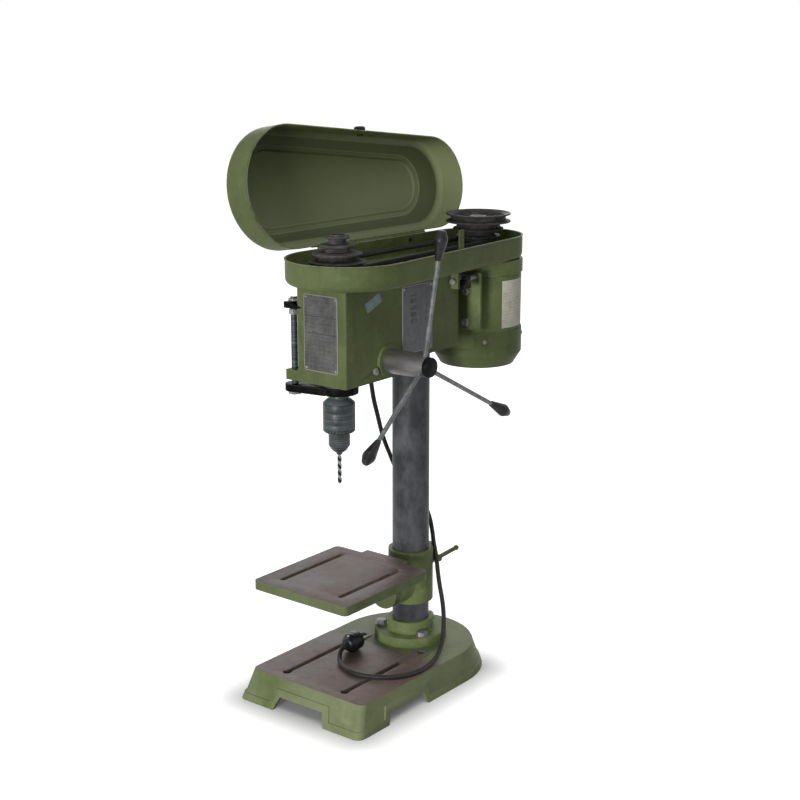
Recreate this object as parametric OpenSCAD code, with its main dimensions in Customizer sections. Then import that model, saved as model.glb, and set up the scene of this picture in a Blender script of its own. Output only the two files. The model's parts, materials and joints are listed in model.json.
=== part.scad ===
// Bench pillar drill with a belt drive under a hinged lid, all sizes in millimetres.
// +Z is up, -Y is the operator's side, +X is the feed handle's side.
// The origin lies on the bench, midway between the two bench bolt holes of the base.

/* [Column] */
// Distance from the bench bolt line back to the column axis
column_y = 50; // [47:0.5:53]
// Outer diameter of the column
column_d = 60; // [58:0.5:61]
// Wall of the column tube
column_wall = 4; // [3:0.5:6]
// Length of the column
column_l = 600; // [594:1:606]

/* [Base] */
// Width of the base at the bench
base_w = 248; // [244:1:256]
// Column axis to the front edge of the base
base_front = 283; // [275:1:290]
// Height of the base
base_h = 46.5; // [46:0.1:48]
// Draft of the sides, each side
side_draft = 9; // [7:0.5:11]
// Draft of the front and of the rear
end_draft = 18.5; // [15:0.5:21]
// Wall of the hollow casting
base_wall = 6; // [5:0.5:7]
// Thickness of the top plate of the base
base_plate_t = 9; // [8:0.5:10]
// Height of the raised band along the bench
band_h = 10.5; // [8:0.5:12]
// Width of the front foot opening
front_notch_w = 104; // [90:1:116]
// Height of the front foot opening
front_notch_h = 21; // [18:0.5:24]
// Length of the side foot openings
side_notch_l = 100; // [88:1:110]
// Distance between the two bench bolt holes
bench_pitch = 120; // [114:1:124]
// Diameter of the bench bolt holes
bench_hole_d = 12; // [10:0.5:13]
// Distance of the base slots from the middle
base_slot_x = 59; // [54:1:64]
// Length of the base slots
base_slot_l = 147; // [130:1:150]
// Width of the base slots
base_slot_w = 9.5; // [8:0.5:12]

/* [Column flange] */
// Radius of the flange that holds the column
flange_r = 59.5; // [56:0.5:62]
// Thickness of the flange
flange_t = 16; // [14:0.5:18]
// Radius of the boss round the column
boss_r = 37.7; // [35:0.1:40]
// Height of the boss above the flange
boss_h = 18.5; // [15:0.5:20]
// Radius of the circle of flange bolts
flange_bolt_circle_r = 48.5; // [47:0.5:50]

/* [Table] */
// Height of the table's working face
table_z = 202.7; // [200:0.1:206]
// Width of the table
table_w = 186; // [176:1:196]
// Column axis to the front edge of the table
table_front = 275.5; // [265:0.5:285]
// Column axis to the rear edge of the table
table_back = 76.2; // [72:0.1:80]
// Thickness of the table plate
table_t = 14.7; // [12:0.1:16]
// Distance of the table slots from the middle
table_slot_x = 58.5; // [50:0.5:66]
// Length of the table slots
table_slot_l = 150; // [130:1:156]
// Width of the table slots
table_slot_w = 8.5; // [7:0.5:10]
// Height of the table's tilt axis
tilt_z = 143; // [141:0.5:145]
// Radius of the round tilt flange
tilt_r = 28; // [26:0.5:30]

/* [Table bracket] */
// Outer radius of the collar on the column
collar_r = 36.7; // [35:0.1:38]
// Height of the collar
collar_h = 87; // [82:1:90]
// Height of the lower edge of the collar
collar_z = 112.5; // [110:0.5:115]

/* [Head] */
// Width of the head casting
head_w = 95.2; // [92:0.2:98]
// Column axis to the front face of the head
head_front = 215.9; // [213:0.1:218]
// Column axis to the rear face of the head
head_rear = 62.8; // [60:0.1:65]
// Height of the underside of the head
head_z = 512.3; // [510:0.1:514]
// Height of the underside behind the step
head_rear_z = 533.3; // [530:0.1:536]
// Height of the top of the head
head_top_z = 658.3; // [657.5:0.1:659]
// Wall of the head casting
head_wall = 6; // [5:0.5:6]
// Column axis to the spindle axis
throat = 177; // [176:0.5:178]

/* [Belt guard and lid] */
// Radius of the front end of the guard
guard_front_r = 94.8; // [92:0.2:97]
// Column axis to the centre of the front end
guard_front_y = 151.7; // [149:0.1:154]
// Radius of the rear end of the guard
guard_rear_r = 76.3; // [74:0.1:78]
// Column axis back to the centre of the rear end
guard_rear_y = 174.9; // [172:0.1:178]
// Height of the guard's walls
guard_h = 38; // [36:0.5:40]
// Sheet thickness of guard and lid
sheet_t = 2; // [1.5:0.1:2.4]
// Depth of the lid
lid_h = 52.6; // [50:0.1:56]
// Height of the raised panel on the lid
panel_h = 5; // [3:0.5:7]
// Angle by which the lid stands open
lid_open = 99.2; // [90:0.2:105]

/* [Belt drive] */
// Height of the middle of the lowest pulley rim
pulley_z = 680.5; // [679:0.1:682]
// Distance from one pulley rim to the next
step_pitch = 12.2; // [11.8:0.1:12.6]
// Thickness of a pulley rim
rim_t = 2.6; // [2:0.1:3]
// Height of the V-belt
belt_h = 7.2; // [6.8:0.1:7.4]
// Thickness of the V-belt
belt_t = 7; // [6:0.5:7]

/* [Motor] */
// Column axis to the motor axis
motor_back = 180.2; // [179:0.1:181]
// Radius of the motor body
motor_r = 72.5; // [71:0.5:73]
// Height of the underside of the motor
motor_z = 481.7; // [478:0.1:486]
// Height of the top of the motor
motor_top_z = 657.4; // [656.5:0.1:657.6]
// Height of the bell's upper edge
bell_top_z = 542.6; // [540:0.1:545]

/* [Feed] */
// Column axis to the feed shaft
feed_back = 118.3; // [117.5:0.1:119]
// Height of the feed shaft
feed_z = 540.4; // [540:0.1:541]
// Distance of the hub's end from the middle
hub_end_x = 131; // [128:0.5:134]
// Radius of the hub
hub_r = 18.5; // [17.5:0.1:19.5]
// Distance from the feed shaft to the end of a knob
arm_l = 207.5; // [200:0.5:212]
// Lean of the feed arms away from the head
arm_lean = 9; // [7:0.5:10]
// Diameter of a feed arm
arm_d = 7; // [6:0.5:8]
// Pitch radius of the feed pinion
pinion_pitch_r = 18; // [17.5:0.1:18.5]
// Teeth of the feed pinion
pinion_teeth = 18; // [18:1:18]

/* [Quill, spindle and chuck] */
// Outer radius of the quill
quill_r = 24; // [23.5:0.1:24.5]
// Height of the upper end of the quill
quill_top_z = 640; // [636:0.5:641]
// Radius of the spindle
spindle_r = 7; // [6.5:0.1:7.5]
// Radius of the toothed chuck sleeve
chuck_r = 24.5; // [24:0.1:26]
// Height of the lower edge of the chuck sleeve
chuck_z = 434; // [432:0.5:436]
// Height of the toothed chuck sleeve
chuck_h = 45.6; // [44:0.2:47]
// Diameter of the drill bit
bit_d = 6.4; // [5.8:0.1:7]
// Height of the point of the drill bit
bit_z = 351.6; // [349:0.2:356]

/* [Depth stop] */
// Distance of the depth rod from the side of the head
rod_side = 16; // [15.5:0.1:16.4]
// Spindle axis forward to the depth rod
rod_front = 27; // [26:0.1:28]
// Diameter of the depth rod
rod_d = 10; // [9:0.5:10.5]
// Height of the upper end of the depth rod
rod_top_z = 638; // [635:0.5:641]
// Height of the underside of the stop nut
stop_nut_z = 611.4; // [608:0.1:613]

/* [Hidden] */
$fn = 64;
hull_fn = 48;
arc_steps = 24;

// Overrun of cuts, and the clearances used throughout
cut = 1;
skin = 0.01;
run = 0.05;
gap = 0.3;

// Axes and main levels
spindle_y = column_y - throat;
feed_y = column_y - feed_back;
motor_y = column_y + motor_back;
head_front_y = column_y - head_front;
head_rear_y = column_y + head_rear;
column_r = column_d / 2;
rod_x_off = head_w / 2 + rod_side;
guard_z = head_top_z;
rim_z = guard_z + guard_h;
pad_t = 1;
casting_z = base_h - pad_t;
quill_z = 494;
arm_t = 11.5;

// Finishes
green = [0.40, 0.45, 0.29];
iron = [0.43, 0.38, 0.36];
steel = [0.42, 0.45, 0.49];
dark = [0.16, 0.16, 0.17];
black = [0.06, 0.06, 0.07];
bright = [0.68, 0.69, 0.70];
cream = [0.80, 0.78, 0.68];

// Helpers

module pair_x(x) {
    for (side = [-1, 1])
        translate([side * x, 0, 0]) children();
}

module bar_x(r, x0, x1) {
    translate([x0, 0, 0]) rotate([0, 90, 0]) cylinder(r = r, h = x1 - x0);
}

module bar_y(r, y0, y1) {
    translate([0, y1, 0]) rotate([90, 0, 0]) cylinder(r = r, h = y1 - y0);
}

module tube(r_out, r_in, h) {
    difference() {
        cylinder(r = r_out, h = h);
        translate([0, 0, -cut]) cylinder(r = r_in, h = h + 2 * cut);
    }
}

module round_rect(w, l, r) {
    square([w - 2 * r, l], center = true);
    square([w, l - 2 * r], center = true);
    for (x = [-1, 1], y = [-1, 1])
        translate([x * (w / 2 - r), y * (l / 2 - r)]) circle(r = r);
}

module slot_cut(w, l, h) {
    translate([0, 0, h / 2]) cube([w, l - w, h], center = true);
    for (end = [-1, 1])
        translate([0, end * (l - w) / 2, 0]) cylinder(r = w / 2, h = h);
}

// Hexagon head above z = 0 with a shank below it
module hex_bolt(head_r, head_h, shank_r, shank_l) {
    cylinder(r = head_r, h = head_h, $fn = 6);
    translate([0, 0, -shank_l]) cylinder(r = shank_r, h = shank_l + head_h / 2);
}

function arc(y, r, from, to) = [for (i = [0:arc_steps])
    let (turn = from + (to - from) * i / arc_steps) [r * cos(turn), y + r * sin(turn)]];

// Plan of two round ends, at y0 and y1, joined by their tangents
module capsule(y0, r0, y1, r1) {
    lean = asin((r0 - r1) / (y1 - y0));
    polygon(concat(arc(y0, r0, 180 - lean, 360 + lean), arc(y1, r1, lean, 180 - lean)));
}

// Base and column

base_rear_shift = 8;
corner_r = 14;
band_t = 2.2;
notch_flare = 9;
side_notch_h = 19;
side_notch_y = -112;
pad_back_y = -21;
bench_boss_r = 14;
slot_y = -122.5;
slot_head_r = 7;
front_low_y = column_y - base_front;
front_top_y = front_low_y + end_draft;
rear_low_y = column_y - base_rear_shift;
rear_top_y = rear_low_y - (end_draft - side_draft);

module base_block(grow) {
    low_r = base_w / 2;
    top_r = low_r - side_draft;
    hull($fn = hull_fn) {
        translate([0, rear_low_y, 0]) cylinder(r = low_r + grow, h = skin);
        pair_x(low_r - corner_r)
            translate([0, front_low_y + corner_r, 0]) cylinder(r = corner_r + grow, h = skin);
        translate([0, rear_top_y, base_h - skin]) cylinder(r = top_r + grow, h = skin);
        pair_x(top_r - corner_r)
            translate([0, front_top_y + corner_r, base_h - skin])
                cylinder(r = corner_r + grow, h = skin);
    }
}

// Foot opening as a prism along Y, or its surround when it is grown
module front_notch(grow, reach) {
    half = front_notch_w / 2 + grow;
    translate([0, front_low_y + reach, 0]) rotate([90, 0, 0])
        linear_extrude(reach + cut)
            polygon([[-half, -cut], [half, -cut], [half - notch_flare, front_notch_h + grow],
                     [notch_flare - half, front_notch_h + grow]]);
}

module side_notch(grow) {
    half = side_notch_l / 2 + grow;
    translate([-base_w / 2 - cut, side_notch_y, 0]) rotate([90, 0, 90])
        linear_extrude(base_w + 2 * cut)
            polygon([[-half, -cut], [half, -cut], [half - notch_flare, side_notch_h + grow],
                     [notch_flare - half, side_notch_h + grow]]);
}

module bench_ears(r, h) {
    pair_x(bench_pitch / 2) {
        cylinder(r = r, h = h);
        translate([-r, pad_back_y - cut, 0]) cube([2 * r, cut - pad_back_y, h]);
    }
}

module base() color(green) {
    difference() {
        union() {
            difference() {
                union() {
                    base_block(-band_t);
                    intersection() {
                        base_block(0);
                        union() {
                            translate([-base_w, front_low_y - cut, 0])
                                cube([2 * base_w, base_front + base_w, band_h]);
                            front_notch(band_h, end_draft);
                            side_notch(band_h);
                        }
                    }
                }
                difference() {
                    base_block(-base_wall);
                    translate([-base_w, front_low_y - cut, base_h - base_plate_t])
                        cube([2 * base_w, base_front + base_w, base_plate_t + cut]);
                }
                difference() {
                    translate([-base_w, pad_back_y, casting_z])
                        cube([2 * base_w, base_front + base_w, pad_t + cut]);
                    translate([0, 0, casting_z - cut]) bench_ears(bench_boss_r, pad_t + 3 * cut);
                }
            }
            pair_x(bench_pitch / 2) cylinder(r = bench_boss_r, h = base_h - base_plate_t / 2);
        }
        pair_x(bench_pitch / 2)
            translate([0, 0, -cut]) cylinder(r = bench_hole_d / 2, h = base_h + 2 * cut);
        front_notch(0, end_draft + base_wall);
        side_notch(0);
        pair_x(base_slot_x) translate([0, slot_y, base_h - base_plate_t - cut]) {
            slot_cut(base_slot_w, base_slot_l, base_plate_t + 2 * cut);
            translate([0, slot_head_r - base_slot_l / 2, 0])
                cylinder(r = slot_head_r, h = base_plate_t + 2 * cut);
        }
        flange_bolt_places(casting_z - base_plate_t)
            cylinder(r = flange_bolt_r, h = base_plate_t + cut);
    }
}

flange_bolt_r = 5;
flange_bolt_head_r = 9;
flange_bolt_head_h = 6.5;
washer_t = 1.6;
washer_r = 10.4;

module flange_bolt_places(z) {
    for (turn = [-150, -30, 90])
        translate([0, column_y, z]) rotate([0, 0, turn])
            translate([flange_bolt_circle_r, 0, 0]) children();
}

module column_flange() color(green) {
    edge = 1.5;
    difference() {
        translate([0, column_y, casting_z]) {
            cylinder(r = flange_r, h = flange_t - edge);
            translate([0, 0, flange_t - edge])
                cylinder(r1 = flange_r, r2 = flange_r - edge, h = edge);
            cylinder(r = boss_r, h = flange_t + boss_h - edge);
            translate([0, 0, flange_t + boss_h - edge])
                cylinder(r1 = boss_r, r2 = boss_r - edge, h = edge);
            translate([0, 0, flange_t])
                cylinder(r1 = boss_r + 2 * edge, r2 = boss_r, h = 2 * edge);
        }
        translate([0, column_y, casting_z - cut])
            cylinder(r = column_r, h = flange_t + boss_h + 2 * cut);
        flange_bolt_places(casting_z - cut) cylinder(r = flange_bolt_r, h = flange_t + 2 * cut);
        flange_bolt_places(casting_z + flange_t)
            cylinder(r = washer_r + gap, h = washer_t + flange_bolt_head_h);
    }
}

module flange_bolts() color(bright) {
    flange_bolt_places(casting_z + flange_t) {
        translate([0, 0, washer_t])
            hex_bolt(flange_bolt_head_r, flange_bolt_head_h, flange_bolt_r,
                     washer_t + flange_t + base_plate_t - pad_t);
        tube(washer_r, flange_bolt_r, washer_t);
    }
}

module column() color(steel)
    translate([0, column_y, casting_z])
        tube(column_r, column_r - column_wall, column_l);

// Table and its bracket

table_corner_r = 8;
heel_w = 82;
heel_back = 62;
lug_t = 12;
rib_t = 8;
rib_x = 19;
rib_reach = 90;
tilt_bolt_r = 6;
tilt_head_r = 10;
tilt_head_h = 7;
tilt_bolt_l = 28;
tilt_face_y = column_y - heel_back;
table_under_z = table_z - table_t;

module table() color(iron) {
    table_l = table_front - table_back;
    mid_y = column_y - (table_front + table_back) / 2;
    lug_drop = table_under_z - tilt_z;
    difference() {
        union() {
            translate([0, mid_y, table_under_z])
                linear_extrude(table_t) round_rect(table_w, table_l, table_corner_r);
            translate([-heel_w / 2, column_y - table_back - table_corner_r, table_under_z])
                cube([heel_w, table_back + table_corner_r - heel_back, table_t]);
            translate([0, 0, tilt_z]) bar_y(tilt_r, tilt_face_y - lug_t, tilt_face_y);
            translate([-tilt_r, tilt_face_y - lug_t, tilt_z]) cube([2 * tilt_r, lug_t, lug_drop]);
            pair_x(rib_x) translate([-rib_t / 2, 0, 0]) rotate([90, 0, 90])
                linear_extrude(rib_t)
                    polygon([[tilt_face_y - lug_t, tilt_z], [tilt_face_y - lug_t, table_under_z],
                             [tilt_face_y - rib_reach, table_under_z]]);
        }
        pair_x(table_slot_x)
            translate([0, column_y - table_front + table_slot_gap + table_slot_l / 2,
                       table_under_z - cut])
                slot_cut(table_slot_w, table_slot_l, table_t + 2 * cut);
        translate([0, 0, tilt_z])
            bar_y(tilt_bolt_r + run, tilt_face_y - lug_t - cut, tilt_face_y + cut);
    }
}

table_slot_gap = 25.5;
split_w = 2;
clamp_lug_w = 20;
clamp_lug_y = 52;
clamp_lug_z = 160;
clamp_lug_h = 36;
clamp_z = 172;
clamp_back = 47;
clamp_y = column_y + clamp_back;
clamp_r = 4;

module table_bracket() color(green) {
    difference() {
        union() {
            translate([0, column_y, collar_z]) cylinder(r = collar_r, h = collar_h);
            translate([0, 0, tilt_z]) bar_y(tilt_r, tilt_face_y + gap, column_y);
            translate([-clamp_lug_w / 2, column_y, clamp_lug_z])
                cube([clamp_lug_w, clamp_lug_y, clamp_lug_h]);
        }
        translate([0, column_y, collar_z - cut])
            cylinder(r = column_r + run, h = collar_h + 2 * cut);
        translate([-split_w / 2, column_y, collar_z - cut])
            cube([split_w, clamp_lug_y + cut, collar_h + 2 * cut]);
        translate([0, clamp_y, clamp_z]) bar_x(clamp_r + run, -clamp_lug_w, clamp_lug_w);
        translate([0, 0, tilt_z]) bar_y(tilt_bolt_r, tilt_face_y, column_y);
    }
}

module tilt_bolt() color(bright)
    translate([0, tilt_face_y - lug_t - gap, tilt_z]) {
        rotate([90, 0, 0]) cylinder(r = tilt_head_r, h = tilt_head_h, $fn = 6);
        bar_y(tilt_bolt_r, -tilt_head_h / 2, tilt_bolt_l);
    }

clamp_nut_r = 7;
clamp_nut_t = 6;
clamp_hub_r = 5.5;
clamp_hub_x = 16;
clamp_hub_l = 10;
clamp_arm_r = 3.5;
clamp_arm_l = 51;
clamp_arm_rise = 3.2;

module clamp_lever() color(green) {
    half = clamp_lug_w / 2 + gap;
    translate([0, clamp_y, clamp_z]) {
        bar_x(clamp_r, -half - clamp_nut_t, clamp_hub_x + clamp_r);
        translate([-half - clamp_nut_t, 0, 0]) rotate([0, 90, 0])
            cylinder(r = clamp_nut_r, h = clamp_nut_t, $fn = 6);
        bar_x(clamp_nut_r, half, half + clamp_r);
        bar_x(clamp_hub_r, clamp_hub_x, clamp_hub_x + clamp_hub_l);
        translate([clamp_hub_x + clamp_hub_l / 2, 0, 0])
            rotate([-atan2(clamp_arm_l, clamp_arm_rise), 0, 0]) {
                cylinder(r = clamp_arm_r, h = clamp_arm_l);
                translate([0, 0, clamp_arm_l]) sphere(r = clamp_arm_r + clamp_r / 4);
            }
    }
}

// Head casting with its screws and plates

head_corner_r = 3;
step_back = 70;
column_boss_r = 38;
barrel_r = 33;
feed_flange_r = 25;
feed_flange_t = 4.4;
feed_shaft_r = 9;
feed_boss_r = 15;
feed_boss_l = 14;
stop_lug_w = 23.2;
stop_lug_l = 24;
stop_lug_h = 15.7;
jack_lug_w = 13.4;
jack_lug_l = 5.5;
jack_lug_h = 25;
jack_lug_z = 628;
jack_lug_back = 40.8;
jack_lug_y = column_y + jack_lug_back;
rack_w = 16;
rack_tip_l = 12;
slide_rod_x = 28;
slide_rod_z = 637;
slide_rod_r = 8;
slide_boss_r = 13;
slide_boss_l = 7;
lock_r = 4;
lock_back = 59;
lock_y = column_y + lock_back;
lock_z = 635;
rack_pitch_back = throat - feed_back - pinion_pitch_r;
head_l = head_front + head_rear;
head_mid_y = column_y + (head_rear - head_front) / 2;
step_y = column_y - step_back;

module head_cavity() {
    inner_w = head_w - 2 * head_wall;
    translate([-inner_w / 2, head_front_y + head_wall, head_z + head_wall])
        cube([inner_w, step_y - head_front_y - 2 * head_wall, head_top_z - head_z]);
    translate([-inner_w / 2, head_front_y + head_wall, head_rear_z + head_wall])
        cube([inner_w, head_l - 2 * head_wall, head_top_z - head_rear_z]);
}

module head_posts() {
    translate([0, column_y, head_z]) cylinder(r = column_boss_r, h = head_top_z - head_z);
    translate([0, spindle_y, head_z]) cylinder(r = barrel_r, h = head_top_z - head_z);
    translate([0, feed_y, feed_z]) {
        bar_x(feed_boss_r, -head_w / 2, feed_boss_l - head_w / 2);
        bar_x(feed_boss_r, head_w / 2 - feed_boss_l, head_w / 2);
    }
    pair_x(slide_rod_x) translate([0, 0, slide_rod_z])
        bar_y(slide_boss_r, head_rear_y - head_wall - slide_boss_l, head_rear_y);
}

module head() color(green) {
    difference() {
        union() {
            difference() {
                translate([0, head_mid_y, head_z])
                    linear_extrude(head_top_z - head_z) round_rect(head_w, head_l, head_corner_r);
                difference() {
                    head_cavity();
                    head_posts();
                }
            }
            translate([0, feed_y, feed_z])
                bar_x(feed_flange_r, head_w / 2 - head_wall, head_w / 2 + feed_flange_t);
            translate([-head_w / 2 - stop_lug_w, head_front_y, head_z])
                cube([stop_lug_w + head_wall, stop_lug_l, stop_lug_h]);
            translate([head_w / 2 - head_wall, jack_lug_y, jack_lug_z])
                cube([head_wall + jack_lug_w, jack_lug_l, jack_lug_h]);
        }
        translate([-head_w / 2 - cut, step_y, head_z - cut])
            cube([head_w + 2 * cut, head_l, head_rear_z - head_z + cut]);
        translate([0, column_y, head_z - cut])
            cylinder(r = column_r, h = casting_z + column_l - head_z + cut);
        translate([0, spindle_y, head_z - cut])
            cylinder(r = quill_r + run, h = head_top_z - head_z + 2 * cut);
        translate([-rack_w / 2 - gap, spindle_y, head_z - cut])
            cube([rack_w + 2 * gap, rack_pitch_back + gap + pinion_module + cut,
                  head_top_z - head_z + 2 * cut]);
        translate([0, feed_y, feed_z]) bar_x(feed_shaft_r + run, -head_w, head_w);
        translate([-rod_x_off, spindle_y - rod_front, head_z - cut])
            cylinder(r = rod_d / 2 + gap, h = stop_lug_h + 2 * cut);
        pair_x(slide_rod_x) translate([0, 0, slide_rod_z])
            bar_y(slide_rod_r + run, slide_in_y - slide_travel - cut, head_rear_y + cut);
        translate([0, lock_y, lock_z]) bar_x(lock_r + run, slide_rod_x, head_w);
        translate([jack_x, 0, jack_z]) bar_y(jack_r, jack_lug_y - cut, jack_lug_y + jack_lug_l + cut);
        translate([0, side_screw_y, side_screw_z]) bar_x(side_screw_r, head_w / 4, head_w);
        clamp_screw_places() bar_x(side_screw_r, 0, head_wall + column_boss_r);
    }
}

side_screw_ahead = 148.9;
side_screw_y = column_y - side_screw_ahead;
side_screw_z = 528.6;
side_screw_r = 3;
side_screw_head_r = 5.5;
side_screw_head_h = 4;
clamp_screw_zs = [565, 615];
clamp_screw_head_h = 6;
jack_out = 6.7;
jack_x = head_w / 2 + jack_out;
jack_z = 640;
jack_r = 3;
jack_head_r = 4.6;
jack_head_l = 7;

module clamp_screw_places() {
    for (z = clamp_screw_zs)
        translate([-head_w / 2 - cut, column_y, z]) children();
}

module head_screws() color(bright) {
    translate([head_w / 2, side_screw_y, side_screw_z]) rotate([0, 90, 0])
        hex_bolt(side_screw_head_r, side_screw_head_h, side_screw_r, head_w / 8);
    for (z = clamp_screw_zs)
        translate([-head_w / 2, column_y, z]) rotate([0, -90, 0])
            hex_bolt(side_screw_head_r, clamp_screw_head_h, side_screw_r,
                     head_w / 2 - column_r);
    translate([jack_x, 0, jack_z]) {
        bar_y(jack_head_r, jack_lug_y - jack_head_l, jack_lug_y);
        bar_y(jack_r, jack_lug_y - cut, jack_lug_y + jack_lug_l);
    }
}

scale_plate_w = 65.6;
scale_plate_z = 532.5;
scale_plate_h = 115.5;
speed_plate_ahead = 83.5;
speed_plate_y = column_y - speed_plate_ahead;
speed_plate_l = 75;
speed_plate_z = 541.5;
speed_plate_h = 105.5;
label_t = 1;
rivet_r = 2;
rivet_h = 0.9;
rivet_in = 4.5;

module scale_plate() color(bright)
    translate([-scale_plate_w / 2, head_front_y - label_t, scale_plate_z])
        cube([scale_plate_w, label_t, scale_plate_h]);

module speed_plate() color(steel)
    translate([head_w / 2, speed_plate_y, speed_plate_z])
        cube([label_t, speed_plate_l, speed_plate_h]);

module rivet() {
    cylinder(r1 = rivet_r, r2 = rivet_r / 2, h = rivet_h);
}

module plate_rivets() color(bright) {
    for (x = [-1, 1], z = [rivet_in, scale_plate_h - rivet_in])
        translate([x * (scale_plate_w / 2 - rivet_in), head_front_y - label_t, scale_plate_z + z])
            rotate([90, 0, 0]) rivet();
    for (y = [rivet_in, speed_plate_l - rivet_in], z = [rivet_in, speed_plate_h - rivet_in])
        translate([head_w / 2 + label_t, speed_plate_y + y, speed_plate_z + z])
            rotate([0, 90, 0]) rivet();
}

spring_case_r = 32;
spring_case_l = 24;
spring_wall = 2;
spring_out_r = 26;
spring_in_r = 12;

module spring_housing() color(green)
    translate([-head_w / 2, feed_y, feed_z]) rotate([0, -90, 0])
        difference() {
            union() {
                cylinder(r = spring_case_r, h = spring_case_l - spring_wall);
                translate([0, 0, spring_case_l - spring_wall])
                    cylinder(r1 = spring_case_r, r2 = spring_case_r - spring_wall, h = spring_wall);
            }
            translate([0, 0, -cut])
                cylinder(r = spring_case_r - spring_wall,
                         h = spring_case_l - 2 * spring_wall + cut);
            cylinder(r = feed_shaft_r + run, h = spring_case_l + cut);
        }

module return_spring() color(steel)
    translate([-head_w / 2 - spring_wall, feed_y, feed_z]) rotate([0, -90, 0])
        tube(spring_case_r - spring_wall, spring_in_r, spring_case_l - 4 * spring_wall);

switch_l = 62;
switch_h = 46;
switch_d = 20;
switch_y = -30;
switch_z = 588;
rocker_l = 26;
rocker_h = 18;
rocker_lip = 3;
rocker_in = 6;
rocker_room = 1.8;
rocker_pin_r = 1.5;
switch_x = -head_w / 2;

module switch_box() color(dark)
    difference() {
        translate([switch_x, switch_y - switch_l / 2, switch_z]) rotate([0, -90, 0])
            translate([switch_h / 2, switch_l / 2, 0])
                linear_extrude(switch_d) round_rect(switch_h, switch_l, rocker_lip);
        translate([switch_x - switch_d - cut, switch_y - rocker_l / 2 - gap,
                   switch_z + switch_h / 2 - rocker_h / 2 - rocker_room])
            cube([rocker_in + rocker_lip + cut, rocker_l + 2 * gap, rocker_h + 2 * rocker_room]);
        translate([switch_x - switch_d + rocker_lip, 0, switch_z + switch_h / 2])
            bar_y(rocker_pin_r + run, switch_y - rocker_l / 2 - rocker_lip,
                  switch_y + rocker_l / 2 + rocker_lip);
    }

module switch_rocker() color(black)
    translate([switch_x - switch_d + rocker_lip, switch_y, switch_z + switch_h / 2]) {
        rotate([90, 0, 0]) translate([0, 0, -rocker_l / 2])
            linear_extrude(rocker_l)
                polygon([[rocker_lip, -rocker_h / 4], [rocker_lip, rocker_h / 4],
                         [-rocker_lip, rocker_h / 2], [-rocker_lip - rocker_pin_r, 0],
                         [-rocker_lip - rocker_lip, -rocker_h / 2],
                         [-rocker_lip / 2, -rocker_h / 2]]);
        bar_y(rocker_pin_r, -rocker_l / 2 - rocker_lip + gap, rocker_l / 2 + rocker_lip - gap);
    }

// Belt guard and lid, both on the same plan of two round ends

edge_r = 8;
guard_y0 = column_y - guard_front_y;
guard_y1 = column_y + guard_rear_y;
guard_lean = asin((guard_front_r - guard_rear_r) / (guard_y1 - guard_y0));
sleeve_hole_r = 22;
shaft_hole_r = 15;
slide_travel = 10;
tab_w = 10;
tab_t = 2;
tab_foot_t = 2.5;
tab_rise = 30;
tab_drop = 20;
tab_back = 22;
tab_y = column_y + tab_back;

module guard_plan(grow) {
    capsule(guard_y0, guard_front_r + grow, guard_y1, guard_rear_r + grow);
}

// Pan from z = 0 up to h, its lower edge drawn in by edge_r
module pan_block(grow, h) {
    hull($fn = hull_fn) {
        linear_extrude(skin) guard_plan(grow - edge_r);
        translate([0, 0, edge_r]) linear_extrude(h - edge_r) guard_plan(grow);
    }
}

function wall_x(y) = guard_front_r * cos(guard_lean)
                     - (y - guard_y0 - guard_front_r * sin(guard_lean)) * tan(guard_lean);

module guard_tab() {
    x = wall_x(tab_y) - sheet_t;
    translate([x - tab_foot_t, tab_y - tab_w / 2, rim_z - tab_drop])
        cube([tab_foot_t + sheet_t / 2, tab_w, tab_drop - tab_t]);
    translate([x - tab_foot_t, tab_y - tab_w / 2, rim_z - tab_drop])
        cube([tab_t, tab_w, tab_drop + tab_rise]);
}

module belt_guard() color(green) {
    difference() {
        union() {
            difference() {
                translate([0, 0, guard_z]) pan_block(0, guard_h);
                translate([0, 0, guard_z + sheet_t]) pan_block(-sheet_t, guard_h);
            }
            guard_tab();
        }
        translate([0, spindle_y, guard_z - cut]) cylinder(r = sleeve_hole_r, h = sheet_t + 2 * cut);
        translate([0, motor_y - slide_travel / 2, guard_z - cut])
            slot_cut(2 * shaft_hole_r, 2 * shaft_hole_r + slide_travel, sheet_t + 2 * cut);
        guard_screw_places() translate([0, 0, -cut])
            cylinder(r = guard_screw_r, h = sheet_t + 2 * cut);
    }
}

guard_screw_r = 2.5;
guard_screw_head_r = 5;
guard_screw_head_h = 3;
guard_screw_l = 10;
guard_screw_ys = [-100, 0, 95];
hinge_ys = [65];
leaf_l = 250;
leaf_h = 16;
leaf_t = 1.5;
knuckle_r = 3;
pin_r = 1.5;
leaf_screw_r = 3;
leaf_screw_h = 1.8;

module guard_screw_places() {
    for (y = guard_screw_ys)
        pair_x(head_w / 2 - head_wall / 2) translate([0, y, guard_z]) children();
}

module guard_screws() color(dark) {
    guard_screw_places() {
        translate([0, 0, sheet_t]) cylinder(r = guard_screw_head_r, h = guard_screw_head_h);
        translate([0, 0, 0]) cylinder(r = guard_screw_r, h = sheet_t + guard_screw_head_h / 2);
    }
    for (y = hinge_ys, end = [-1, 1])
        translate([-wall_x(y + end * leaf_l / 3), y + end * leaf_l / 3, rim_z - leaf_h / 2])
            rotate([0, 0, -guard_lean]) translate([sheet_t, 0, 0])
                rotate([0, 90, 0]) cylinder(r = leaf_screw_r, h = leaf_screw_h);
}

// Moves a shape drawn with the lid shut to the lid's open place
module opened() {
    foot = [-(guard_front_r + knuckle_r) * cos(guard_lean),
            guard_y0 + (guard_front_r + knuckle_r) * sin(guard_lean), rim_z];
    translate(foot) rotate([0, 0, -guard_lean]) rotate([0, -lid_open, 0])
        rotate([0, 0, guard_lean]) translate(-foot) children();
}

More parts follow.
